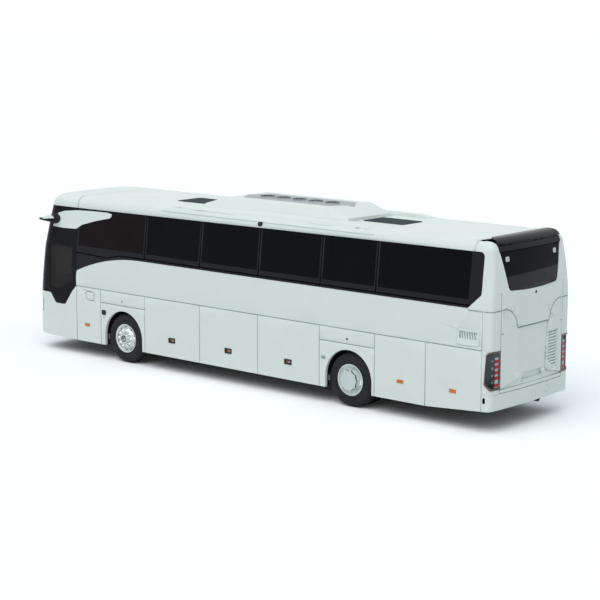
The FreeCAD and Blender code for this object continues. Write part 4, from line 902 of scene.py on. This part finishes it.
def edge_lid(lid):
    """Draw the lid's outline and its hand recess as a narrow line, left selected."""
    edit(lid, "FACE", faces_back)
    bpy.ops.mesh.inset(thickness=LID_LINE * MM)
    bpy.ops.object.mode_set(mode="OBJECT")
    inner = {face.index for face in lid.data.polygons if face.select}
    for face in lid.data.polygons:
        face.select = faces_back(face) and face.index not in inner


def shade_lid(lid):
    """Soft shade on the outline that edge_lid left selected, and painted shade on the walls of the hand
    recess.
    """
    lid.data.materials.append(soft_seam_and_shade())
    for face in lid.data.polygons:
        level = face.center.z / MM
        recess = RECESS_FOOT < level < RECESS_TOP and abs(face.center.y) < RECESS_HALF * MM
        face.material_index = int(face.select or (recess and abs(face.normal.x) < RECESS_TURN))


def faces_back(face):
    """Whether a face of the rear end looks backwards."""
    return face.normal.x < LID_TURN and face.center.x < ahead(LID_BACK)


def paint_arch_shade(shell):
    """Joints of the shell, and painted shade: black on the shell's walls inside the lips of its wheel arches.
    """
    shade_grooves(shell, GROOVE_REACH, seam_shade())
    shell.data.materials.append(black_plastic())
    black = len(shell.data.materials) - 1
    # Painted shade: the shell's walls inside the arch lips turn black
    for face in shell.data.polygons:
        if abs(face.center.y) >= ARCH_LIP * MM:
            continue
        for axle in (REAR_AXLE, FRONT_AXLE):
            away = Vector((face.center.x - axle.x, 0, face.center.z - axle.z))
            if away.length < ARCH_REACH * MM and face.normal.dot(away) < 0:
                face.material_index = black


def wedge_corners():
    """Plan corners, on the left, of the black that runs on from the spoiler to the roof's edge."""
    places = (WEDGE_TIP, WEDGE_INNER, WEDGE_TAIL)
    return [Vector((ahead(length), across * MM, 0)) for length, across in places]


def wedge_cuts():
    """Upright planes along the black wedges' two outer edges, on both sides, and at the corner's joint."""
    tip, inner, tail = wedge_corners()
    planes = [((ahead(CORNER_JOINT), 0, 0), (1, 0, 0))]
    for side in (1, -1):
        for end in (inner, tail):
            line = end - tip
            across = Vector((line.y, -line.x, 0)).normalized()
            planes.append(((tip.x, side * tip.y, 0), (across.x, side * across.y, 0)))
    return planes


def paint_tail(panel):
    """Joints of the rear panel, the black wedges beside the spoiler, and the black over the window."""
    shade_grooves(panel, GROOVE_REACH, soft_seam_and_shade())
    panel.data.materials.append(joint_black_and_hole_shade())
    black = len(panel.data.materials) - 1
    tip, inner, tail = wedge_corners()
    for face in panel.data.polygons:
        place = Vector((face.center.x, abs(face.center.y), 0))
        level = face.center.z / MM
        behind_front = (inner - tip).cross(place - tip).z < 0
        inside_edge = (tail - tip).cross(place - tip).z > 0
        in_wedge = level > WEDGE_FOOT and behind_front and inside_edge
        in_joint = level > JOINT_FOOT and face.center.x > ahead(CORNER_JOINT)
        over_window = level > WINDOW_TOP and place.y < WINDOW_HALF * MM and place.x < ahead(WINDOW_FRONT)
        if in_wedge or in_joint or over_window:
            face.material_index = black


class COACH_OT_black_trim(CoachOperator, bpy.types.Operator):
    """Front mask, front door, spoiler, grilles, wipers, roof knobs and exhaust pipe"""

    bl_idname = "coach.black_trim"
    bl_label = "Black trim"

    def execute(self, context):
        for node in ("front_mask", "entrance_door"):
            merged_copy(node, "black_" + node, "black_gloss", gloss_black())
        merged_copy("rear_spoiler", "black_rear_spoiler", "black_gloss", spoiler_black())
        for node in ("front_grilles", "wipers", "roof_edge_knobs", "exhaust_pipe"):
            merged_copy(node, "plain_" + node, "black_plastic", black_plastic())
        return {"FINISHED"}


class COACH_OT_glazing(CoachOperator, bpy.types.Operator):
    """Side windows, rear window, windscreen, cab window and door glass"""

    bl_idname = "coach.glazing"
    bl_label = "Glazing"

    def execute(self, context):
        for node in ("side_glass_left", "side_glass_right"):
            print_frames(merged_copy(node, "tinted_" + node, "tinted_glass", side_tint(), pane_cuts()))
        # Painted reflection: the rear window below the split gets a lighter colour
        split = ((0, 0, sizes().window_split), (0, REAR_WINDOW_TILT, 1))
        pane = merged_copy("rear_window", "tinted_rear_window", "tinted_glass", side_tint(), [split])
        pane.data.materials.append(rear_painted_reflection())
        for face in pane.data.polygons:
            level = face.center.z + REAR_WINDOW_TILT * face.center.y
            face.material_index = int(level < sizes().window_split)
        for node in ("windscreen", "driver_window", "door_glass"):
            merged_copy(node, "tinted_" + node, "tinted_glass", cab_tint())
        return {"FINISHED"}


def pane_cuts():
    """Planes along the edges of the frames that are printed round the side panes."""
    levels = [edge + side * PANE_PILLAR for edge in PANE_JOINTS for side in (-1, 1)]
    upright = [((ahead(level), 0, 0), (1, 0, 0)) for level in levels + [FRONT_PANE_EDGE, REAR_PANE_EDGE]]
    return upright + [((0, 0, PANE_SILL * MM), (0, 0, 1))]


def print_frames(strip):
    """Frames round the panes, the browner front pane, and the black joints between panes."""
    strip.data.materials.append(front_pane_tint())
    strip.data.materials.append(glass_frame())
    for face in strip.data.polygons:
        length = (face.center.x - REAR_AXLE.x) / MM
        pillar = any(abs(length - edge) < PANE_PILLAR for edge in PANE_JOINTS)
        beyond = length > FRONT_PANE_EDGE or length < REAR_PANE_EDGE
        if pillar or beyond or face.center.z < PANE_SILL * MM:
            face.material_index = 2
        elif length > PANE_JOINTS[0]:
            face.material_index = 1
    shade_grooves(strip, GROOVE_REACH, joint_black_and_hole_shade())


class COACH_OT_roof(CoachOperator, bpy.types.Operator):
    """Hatches, roof plate, fans and the feet of the fairings"""

    bl_idname = "coach.roof"
    bl_label = "Roof fittings"

    def execute(self, context):
        for node in ("roof_hatch_front", "roof_hatch_rear"):
            merged_copy(node, "moulded_" + node, "dark_hatch", dark_hatch())
        merged_copy("roof_plate", "painted_roof_plate", "grey_plastic", plate_grey())
        fans = merged_copy("roof_fans", "moulded_roof_fans", "black_plastic", black_plastic())
        fans.data.materials.append(plate_grey())
        for face in fans.data.polygons:
            face.material_index = int(abs(face.normal.z) < STEEP)
        guard_fans()
        skirt_fairings()
        return {"FINISHED"}


def guard_fans():
    """Wire guard over each fan: two flat rings and a hub cap."""
    low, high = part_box("roof_fans")
    wire = FAN_WIRE * MM
    first = Vector((high.x - (high.y - low.y) / 2, 0, high.z - wire))
    rings = []
    for radius in FAN_RINGS:
        settle()
        bpy.ops.mesh.primitive_torus_add(major_radius=radius * MM, minor_radius=wire, location=first,
                                         major_segments=WIRE_STEPS[0], minor_segments=WIRE_STEPS[1])
        ring = bpy.context.object
        seat_mesh(ring)
        edit(ring)
        bpy.ops.transform.resize(value=(1, 1, FAN_FLATNESS), center_override=first)
        bpy.ops.object.mode_set(mode="OBJECT")
        smooth(ring, math.radians(WIRE_SMOOTH))
        rings.append(dress(ring, "fan_guard_ring", "coach", black_plastic()))
    cap_place = (first - Vector((0, 0, wire)), Vector((0, 0, 1)))
    cap = button("fan_guard_cap", cap_place, FAN_CAP, black_plastic())
    guard = join(rings + [cap], "fan_guards")
    guards = [guard] + [copied(guard, Vector((-FAN_PITCH * step * MM, 0, 0))) for step in range(1, FAN_COUNT)]
    join(guards, "fan_guards")


def skirt_fairings():
    """Feet of the roof's side fairings, each with its joint below and its rear end."""
    skirts, joints = [], []
    for side in (1, -1):
        outward = Vector((0, side * FAIRING_SLOPE[0], FAIRING_SLOPE[1]))
        down = Vector((0, side * FAIRING_SLOPE[1], -FAIRING_SLOPE[0])) * FAIRING_DROP * MM
        foot = Vector((ahead(FAIRING_MIDDLE), side * FAIRING_FOOT[0] * MM, FAIRING_FOOT[1] * MM))
        skirts.append(tile("fairing_skirt", (foot, outward), FAIRING_SKIRT, white_paint()))
        joints.append(tile("fairing_joint", (foot + down, outward), FAIRING_JOINT, seam_shade()))
        tip = Vector((ahead(FAIRING_TIP[0]), side * FAIRING_TIP[1] * MM, FAIRING_TIP[2] * MM))
        tip_outward = Vector((0, side * TIP_SLOPE[0], TIP_SLOPE[1]))
        skirts.append(tile("fairing_tip", (tip, tip_outward), FAIRING_END, white_paint()))
    join(skirts, "fairing_skirts")
    join(joints, "fairing_joints")


class COACH_OT_arms(CoachOperator, bpy.types.Operator):
    """Camera arms, white above and black below"""

    bl_idname = "coach.arms"
    bl_label = "Camera arms"

    def execute(self, context):
        for side in ("left", "right"):
            node = "camera_arm_" + side
            arm = merged_copy(node, "painted_" + node, "white_paint", white_paint())
            arm.data.materials.append(black_plastic())
            for face in arm.data.polygons:
                at_root = abs(face.center.y) < ARM_ROOT * MM
                face.material_index = int(face.normal.z < ARM_TURN or at_root)
        return {"FINISHED"}


class COACH_OT_lamps(CoachOperator, bpy.types.Operator):
    """Headlamps, tail lamps with their lenses, and side markers"""

    bl_idname = "coach.lamps"
    bl_label = "Lamps"

    def execute(self, context):
        merged_copy("headlamps", "smoked_headlamps", "clear_lens", headlamp_dark())
        merged_copy("tail_lamps", "grey_tail_lamps", "lamp_grey", lamp_grey())
        merged_copy("tail_lamp_bezels", "plated_tail_lamp_bezels", "chrome", bezel_bronze())
        merged_copy("tail_lamp_strips", "pale_tail_lamp_strips", "clear_lens", clear_lens())
        merged_copy("tail_lamp_lenses", "red_tail_lamp_lenses", "red_lens", red_lens())
        merged_copy("side_markers", "orange_side_markers", "orange_lens", orange_lens())
        add_reflectors()
        return {"FINISHED"}


def add_reflectors():
    """Round reflectors in the headlamps and small ones in the tail lamps."""
    front, tail = [], []
    for side in (-1, 1):
        for across, radius in HEADLAMP_ROUNDS:
            place = on_nose("headlamps", side * across, HEADLAMP_LEVEL)
            size = (radius, HEADLAMP_ROUND_HEIGHT)
            front.append(button("headlamp_reflector", place, size, lamp_reflector()))
        for level, radius in TAIL_LAMP_ROUNDS:
            place = on_tail("tail_lamps", side * TAIL_LAMP_OUT, level)
            size = (radius, TAIL_LAMP_ROUND_HEIGHT)
            tail.append(button("tail_lamp_reflector", place, size, lamp_reflector()))
    join(front, "headlamp_reflectors")
    join(tail, "tail_lamp_reflectors")


class COACH_OT_fittings(CoachOperator, bpy.types.Operator):
    """Flap handles, and the small fittings on the sides and the tail"""

    bl_idname = "coach.fittings"
    bl_label = "Small fittings"

    def execute(self, context):
        merged_copy("flap_handles", "moulded_flap_handles", "black_plastic", black_plastic())
        fit_flanks()
        fit_tail()
        return {"FINISHED"}


def fit_flanks():
    """Flap locks, handle halves, side lenses, painted shade for the tow holes, vent rims, and the tank's
    socket on the left.
    """
    makers = {"flap_locks": flap_locks, "handle_pads": handle_pads, "handle_marks": handle_marks,
              "side_lenses": side_lens, "side_lens_slots": side_lens_slot, "tow_hole_shades": tow_hole_shade,
              "side_vent_rims": vent_rims}
    for name, maker in makers.items():
        join([piece for side in (1, -1) for piece in maker(side)], name)
    place = on_side("body_shell", *TANK_SOCKET_AT)
    socket = tile("tank_socket", place, TANK_SOCKET, black_plastic())
    lid = tile("tank_socket_lid", place, TANK_LID, black_plastic())
    dot = button("tank_socket_dot", on_side("body_shell", *TANK_DOT_AT), TANK_DOT, black_plastic())
    join([socket, lid, dot], "tank_socket")


def flap_locks(side):
    """Round locks of the flaps over the wheels."""
    size = (sizes().lock_radius / MM, FLAP_LOCK_HEIGHT)
    return [button("flap_lock", on_side("body_shell", *place, side), size, black_plastic())
            for place in FLAP_LOCKS]


def handle_plates(side, name, shift, material):
    """Small plates on one half of each luggage flap's handle; the middle door leaves no room for one."""
    return [tile(name, on_side("flap_handles", length + shift, height, side), HANDLE_PLATE, material)
            for length, height in FLAP_HANDLES if side > 0 or length > MIDDLE_DOOR_FRONT]


def handle_pads(side):
    """Orange halves of the handles."""
    return handle_plates(side, "handle_pad", HANDLE_HALF, orange_lens())


def handle_marks(side):
    """Pale halves of the handles."""
    return handle_plates(side, "handle_mark", -HANDLE_HALF, clear_lens())


def side_lens(side):
    """White lens just ahead of the rear wheel arch."""
    return [tile("side_lens", on_side("body_shell", *SIDE_LENS_AT, side), SIDE_LENS, bright_white())]


def side_lens_slot(side):
    """Dark slot across the white lens."""
    return [tile("side_lens_slot", on_side("body_shell", *SIDE_LENS_AT, side), SIDE_LENS_SLOT,
                 black_plastic())]


def tow_hole_shade(side):
    """Painted shade: dark upright plate where the hole at the rear bumper's corner is."""
    return [tile("tow_hole_shade", on_side("rear_bumper", *TOW_HOLE_AT, side), TOW_HOLE_SHADE, joint_black_and_hole_shade())]


def vent_rims(side):
    """Raised rim of a side vent, with a joint line round it."""
    length, height = VENT_MIDDLE
    place, normal = on_side("body_shell", length + VENT_CLEAR, height, side)
    landed = (Vector((ahead(length), place.y, place.z)), Vector((0, side, 0)))
    return [rim_plate("vent_outline", landed, VENT_OUTLINE, VENT_OUTLINE_BAND, seam_shade()),
            rim_plate("vent_rim", landed, VENT_RIM, VENT_RIM_BAND, white_paint())]


def fit_tail():
    """Pale sensors in the rear window, the lid's lock, and painted shade in the lid's slot and behind the
    louvre's slats.
    """
    across, level = SENSOR_AT
    sensors = [tile("window_sensor", on_tail("rear_window", side * across, level), SENSOR, bright_white()) for side in (-1, 1)]
    join(sensors, "window_sensors")
    place, outward = on_tail("rear_panel", *LID_LOCK_AT)
    sunk = place + Vector((LID_LOCK_SINK * MM, 0, 0))
    button("lid_lock", (sunk, outward), LID_LOCK, black_plastic(), dent=LID_LOCK_DENT)
    sill, outward = on_tail("engine_lid", *LID_SLOT_AT)
    tile("lid_slot_shade", (sill + LID_SLOT_SHIFT * MM, outward), LID_SLOT, slot_blue())
    # Painted shade: a plate behind the louvre stands for the shade between its slats
    middle, outward = on_tail("rear_louvre", *LOUVRE_AT)
    tile("louvre_painted_shade", (middle + LOUVRE_SHIFT * MM, outward), LOUVRE_SHADE, soft_seam_and_shade())


class COACH_OT_wheels(CoachOperator, bpy.types.Operator):
    """Tyres, plated rims and axle pins"""

    bl_idname = "coach.wheels"
    bl_label = "Wheels"

    def execute(self, context):
        for axle in ("front", "rear"):
            rims = merged_copy(axle + "_rims", "plated_" + axle + "_rims", "chrome", chrome())
            if axle == "rear":
                paint_discs(rims)
            for side in ("left", "right"):
                node = axle + "_tyre_" + side
                merged_copy(node, "rubber_" + node, "tyre_rubber", rubber())
            merged_copy(axle + "_axle", "turned_" + axle + "_axle", "steel", steel())
        trim_front_rims()
        return {"FINISHED"}


def paint_discs(rims):
    """Silver paint on the proud discs of the rear rims, painted shade on their edges, and a painted highlight
    on the wells round them.
    """
    for material in (silver_paint(), black_plastic(), plating_painted_highlight()):
        rims.data.materials.append(material)
    # dark is painted shade on the discs' edges, bright a painted highlight in the wells
    plating, silver, dark, bright = range(4)
    for face in rims.data.polygons:
        out = Vector((face.center.x - REAR_AXLE.x, face.center.z - REAR_AXLE.z)).length
        if abs(face.center.y) > DISC_PLANE * MM:
            flat = abs(face.normal.y) > STEEP
            face.material_index = silver if flat or out < HUB_EDGE * MM else dark
        else:
            face.material_index = bright if out < RIM_WELL * MM else plating


def trim_front_rims():
    """Painted shade: dark dished discs in the hand holes round each front rim, and a painted shadow ring
    round its hub.
    """
    holes, rings = [], []
    circle = sizes().hand_hole_circle
    for side in (1, -1):
        for step in range(HAND_HOLES):
            turn = 2 * math.pi * (step + 0.5) / HAND_HOLES
            start = (FRONT_AXLE.x + circle * math.cos(turn), side * OUTSIDE,
                     FRONT_AXLE.z + circle * math.sin(turn))
            place, normal = landing("front_rims", start, (0, -side, 0))
            holes.append(button("hand_hole_shade", (place, Vector((0, side, 0))), HAND_HOLE_SHADE, joint_black_and_hole_shade(),
                                body="front_wheels", dent=HAND_HOLE_DENT))
        profile = [(side * y * MM, radius * MM) for y, radius in HUB_SHADOW_RING]
        ring = turned(FRONT_AXLE, profile, sizes().ring_steps)
        smooth(ring, math.radians(HUB_RING_SMOOTH))
        rings.append(dress(ring, "hub_shadow_ring", "front_wheels", black_plastic()))
    join(holes, "front_hand_hole_shades")
    join(rings, "front_hub_shadow_rings")


class COACH_OT_chassis(CoachOperator, bpy.types.Operator):
    """Base plate, saddles and inner arches"""

    bl_idname = "coach.chassis"
    bl_label = "Chassis"

    def execute(self, context):
        for node in ("base_plate", "axle_saddles", "wheel_arch_liners"):
            merged_copy(node, "moulded_" + node, "black_plastic", black_plastic())
        brackets = []
        for side in (1, -1):
            for length, height in BRACKETS:
                place = Vector((ahead(length), side * BRACKET_OUT * MM, height * MM))
                brackets.append(tile("arch_bracket", (place, Vector((0, side, 0))), BRACKET, bracket_grey()))
        join(brackets, "arch_brackets")
        return {"FINISHED"}


class COACH_OT_cabin(CoachOperator, bpy.types.Operator):
    """Floor, seats, dashboard and steering wheel"""

    bl_idname = "coach.cabin"
    bl_label = "Cabin"

    def execute(self, context):
        for node in ("cabin_floor", "passenger_seats", "driver_seat", "dashboard"):
            merged_copy(node, "moulded_" + node, "seat_plastic", seat_plastic())
        merged_copy("steering_wheel", "moulded_steering_wheel", "black_plastic", black_plastic())
        return {"FINISHED"}


class COACH_OT_studio(CoachOperator, bpy.types.Operator):
    """White floor, soft light and camera"""

    bl_idname = "coach.studio"
    bl_label = "Studio"

    def execute(self, context):
        lay_floor()
        light_studio()
        place_camera()
        context.scene.view_settings.view_transform = "Standard"
        return {"FINISHED"}


def seen_directly(tree):
    """Factor that is 1 for what is seen directly, through glass or as a reflection."""
    path = node_of(tree, "ShaderNodeLightPath")
    seen = path.outputs["Is Camera Ray"]
    for kind in ("Is Glossy Ray", "Is Transmission Ray"):
        joined = node_of(tree, "ShaderNodeMath", operation="MAXIMUM")
        tree.links.new(seen, joined.inputs[0])
        tree.links.new(path.outputs[kind], joined.inputs[1])
        seen = joined.outputs[0]
    return seen


def lay_floor():
    """Large pale floor, white where the camera sees it, with the coach's shadow kept."""
    settle()
    bpy.ops.mesh.primitive_plane_add(size=sizes().floor_size, location=(0, 0, 0))
    floor = bpy.context.object
    floor.name = "studio_floor"
    seat_mesh(floor)
    material = bpy.data.materials.new("studio_white")
    material.use_nodes = True
    tree = material.node_tree
    tree.nodes.clear()
    out = node_of(tree, "ShaderNodeOutputMaterial")
    surface = node_of(tree, "ShaderNodeBsdfDiffuse")
    tone = node_of(tree, "ShaderNodeMix", data_type="RGBA")
    tone.inputs[6].default_value = FLOOR_LIT
    tone.inputs[7].default_value = FLOOR_SEEN
    tree.links.new(seen_directly(tree), tone.inputs[0])
    tree.links.new(tone.outputs[2], surface.inputs["Color"])
    tree.links.new(surface.outputs["BSDF"], out.inputs["Surface"])
    floor.data.materials.append(material)


def light_studio():
    """Even dome of light with two broad soft lamps."""
    world = bpy.context.scene.world or bpy.data.worlds.new("studio")
    bpy.context.scene.world = world
    world.use_nodes = True
    tree = world.node_tree
    tree.nodes.clear()
    out = node_of(tree, "ShaderNodeOutputWorld")
    dome = node_of(tree, "ShaderNodeBackground")
    white = node_of(tree, "ShaderNodeBackground")
    white.inputs["Color"].default_value = (1, 1, 1, 1)
    white.inputs["Strength"].default_value = 1.0
    height = node_of(tree, "ShaderNodeTexCoord")
    split = node_of(tree, "ShaderNodeSeparateXYZ")
    tree.links.new(height.outputs["Generated"], split.inputs["Vector"])
    sky = ramp_of(tree, split.outputs["Z"], SKY_LOW, SKY_HIGH, 0.1, 0.75)
    tree.links.new(sky.outputs["Color"], dome.inputs["Color"])
    dome.inputs["Strength"].default_value = SKY_STRENGTH
    mix = node_of(tree, "ShaderNodeMixShader")
    tree.links.new(seen_directly(tree), mix.inputs["Fac"])
    tree.links.new(dome.outputs["Background"], mix.inputs[1])
    tree.links.new(white.outputs["Background"], mix.inputs[2])
    tree.links.new(mix.outputs["Shader"], out.inputs["Surface"])
    for name, (strength, spread, direction) in SUNS.items():
        add_sun(name, strength, spread, direction)


def add_sun(name, strength, spread, direction):
    """Distant soft lamp that shines from this direction."""
    data = bpy.data.lights.new(name, "SUN")
    data.energy = strength
    data.angle = math.radians(spread)
    lamp = bpy.data.objects.new(name, data)
    bpy.context.scene.collection.objects.link(lamp)
    lamp.rotation_mode = "QUATERNION"
    lamp.rotation_quaternion = Vector(direction).to_track_quat("Z", "Y")


def place_camera():
    """Camera at the photograph's place, lens and tilt."""
    view = bpy.context.scene.coach_view
    data = bpy.data.cameras.new("photo_camera")
    data.lens = view.lens
    data.sensor_width = 36
    data.clip_start = 0.01
    data.clip_end = 50
    camera = bpy.data.objects.new("photo_camera", data)
    bpy.context.scene.collection.objects.link(camera)
    line = Vector((math.cos(view.yaw) * math.cos(view.pitch), math.sin(view.yaw) * math.cos(view.pitch),
                   -math.sin(view.pitch)))
    right = line.cross(Vector((0, 0, 1))).normalized()
    up = right.cross(line)
    turned_right = math.cos(view.roll) * right + math.sin(view.roll) * up
    turned_up = math.cos(view.roll) * up - math.sin(view.roll) * right
    basis = Matrix((turned_right, turned_up, -line)).transposed().to_4x4()
    foot = Vector((REAR_AXLE.x, 0, 0))
    camera.matrix_world = Matrix.Translation(foot + Vector(view.place)) @ basis
    bpy.context.scene.camera = camera


class COACH_PT_panel(bpy.types.Panel):
    """Sidebar panel that lists the coach's operators and settings"""

    bl_label = "Scale Model Coach"
    bl_space_type = "VIEW_3D"
    bl_region_type = "UI"
    bl_category = "Coach"

    def draw(self, context):
        for operator in OPERATORS:
            self.layout.operator(operator.bl_idname)
        for group in (context.scene.coach_colours, context.scene.coach_sizes, context.scene.coach_view):
            box = self.layout.box()
            for name in group.bl_rna.properties.keys():
                if name not in ("rna_type", "name"):
                    box.prop(group, name)


OPERATORS = (
    COACH_OT_paintwork, COACH_OT_black_trim, COACH_OT_glazing, COACH_OT_roof, COACH_OT_arms, COACH_OT_lamps,
    COACH_OT_fittings, COACH_OT_wheels, COACH_OT_chassis, COACH_OT_cabin, COACH_OT_studio)
GROUPS = (CoachColours, CoachSizes, CoachView)


def register():
    """Register the classes and their settings."""
    for made in (*GROUPS, *OPERATORS, COACH_PT_panel):
        bpy.utils.register_class(made)
    bpy.types.Scene.coach_colours = PointerProperty(type=CoachColours)
    bpy.types.Scene.coach_sizes = PointerProperty(type=CoachSizes)
    bpy.types.Scene.coach_view = PointerProperty(type=CoachView)


def unregister():
    """Remove the classes and their settings."""
    del bpy.types.Scene.coach_colours
    del bpy.types.Scene.coach_sizes
    del bpy.types.Scene.coach_view
    for made in (COACH_PT_panel, *reversed(OPERATORS), *reversed(GROUPS)):
        bpy.utils.unregister_class(made)


def main():
    """Make every piece and the studio."""
    register()
    bpy.ops.coach.paintwork()
    bpy.ops.coach.black_trim()
    bpy.ops.coach.glazing()
    bpy.ops.coach.roof()
    bpy.ops.coach.arms()
    bpy.ops.coach.lamps()
    bpy.ops.coach.fittings()
    bpy.ops.coach.wheels()
    bpy.ops.coach.chassis()
    bpy.ops.coach.cabin()
    bpy.ops.coach.studio()
    settle()


if __name__ == "__main__":
    main()
